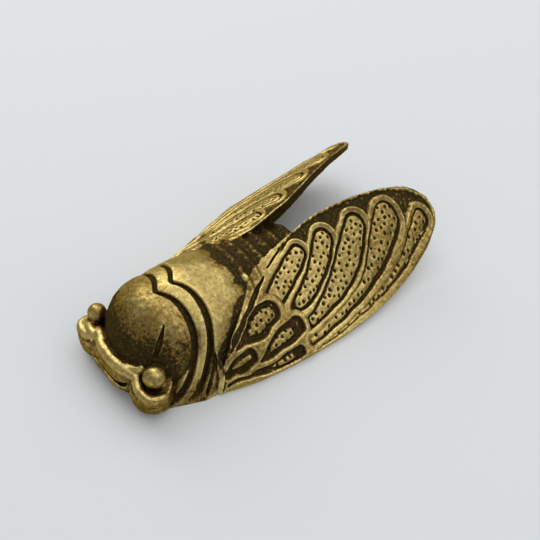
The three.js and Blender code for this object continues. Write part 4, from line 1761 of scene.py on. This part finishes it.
@dataclass
class Studio:
    """Pale floor, soft lights and the camera at the photograph's angle, in metres."""

    camera_place: Triple = (0.045727, -0.037252, 0.071114)
    azimuth: float = 49.275
    elevation: float = 49.0
    focal_pixels: float = 720.96
    frame_pixels: float = 540.0
    sensor: float = 36.0
    clip: Pair = (0.001, 10.0)
    floor_half: float = 1.2
    floor_roughness: float = 0.75
    floor_colour: Quad = (0.68, 0.695, 0.7, 1.0)
    room_colour: Quad = (0.95, 0.98, 1.0, 1.0)
    room_strength: float = 0.47
    lamps: tuple[tuple[str, Triple, float, float], ...] = (
        ("overhead", (0.0, 0.2, 0.54), 0.9, 1.85),
        ("window", (-0.42, 0.08, 0.36), 0.45, 1.1),
        ("side", (0.44, 0.26, 0.3), 0.4, 0.4),
    )

    def build(self) -> None:
        """Builds the floor, the lights, the sky and the camera."""
        self._floor()
        self._lights()
        self._camera()

    def _floor(self) -> None:
        """Lays the floor under the casting."""
        bm = bmesh.new()
        bmesh.ops.create_grid(bm, x_segments=1, y_segments=1, size=self.floor_half)
        mesh = bpy.data.meshes.new("floor")
        bm.to_mesh(mesh)
        bm.free()
        floor = bpy.data.objects.new("floor", mesh)
        bpy.context.scene.collection.objects.link(floor)
        bench = Bench("pale_floor")
        finish = {"Base Color": self.floor_colour, "Roughness": self.floor_roughness}
        bench.finish(bench.node("BsdfPrincipled", {}, finish))
        mesh.materials.append(bench.material)

    def _lights(self) -> None:
        """Hangs the soft lights and sets the even light of the room."""
        world = bpy.data.worlds.new("room")
        world.use_nodes = True
        room = world.node_tree.nodes["Background"]
        room.inputs["Color"].default_value = self.room_colour
        room.inputs["Strength"].default_value = self.room_strength
        bpy.context.scene.world = world
        for name, place, size, power in self.lamps:
            lamp = bpy.data.lights.new(name, "AREA")
            lamp.shape, lamp.size, lamp.energy = "DISK", size, power
            holder = bpy.data.objects.new(name, lamp)
            holder.location = place
            holder.rotation_euler = (-Vector(place)).to_track_quat("-Z", "Y").to_euler()
            bpy.context.scene.collection.objects.link(holder)

    def _camera(self) -> None:
        """Sets the camera from the photograph's angle, distance and focal length."""
        turn, rise = math.radians(self.azimuth), math.radians(self.elevation)
        flat = math.cos(rise)
        back = Vector((math.sin(turn) * flat, -math.cos(turn) * flat, math.sin(rise)))
        data = bpy.data.cameras.new("camera")
        data.sensor_width = self.sensor
        data.lens = self.sensor * self.focal_pixels / self.frame_pixels
        data.clip_start, data.clip_end = self.clip
        camera = bpy.data.objects.new("camera", data)
        camera.location = self.camera_place
        camera.rotation_mode = "QUATERNION"
        camera.rotation_quaternion = (-back).to_track_quat("-Z", "Y")
        bpy.context.scene.collection.objects.link(camera)
        bpy.context.scene.camera = camera


def main() -> None:
    """Builds the studio and the casting."""
    logging.basicConfig(level=logging.INFO, format="%(name)s: %(message)s")
    bpy.context.scene.view_settings.view_transform = "Standard"
    Studio().build()
    casting = Casting().build()
    casting.data.materials.append(AgedBrass().make())
    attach(casting, "root")
    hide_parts(NODE)
    log.info("%s: %d faces", casting.name, len(casting.data.polygons))


if __name__ == "__main__":
    main()
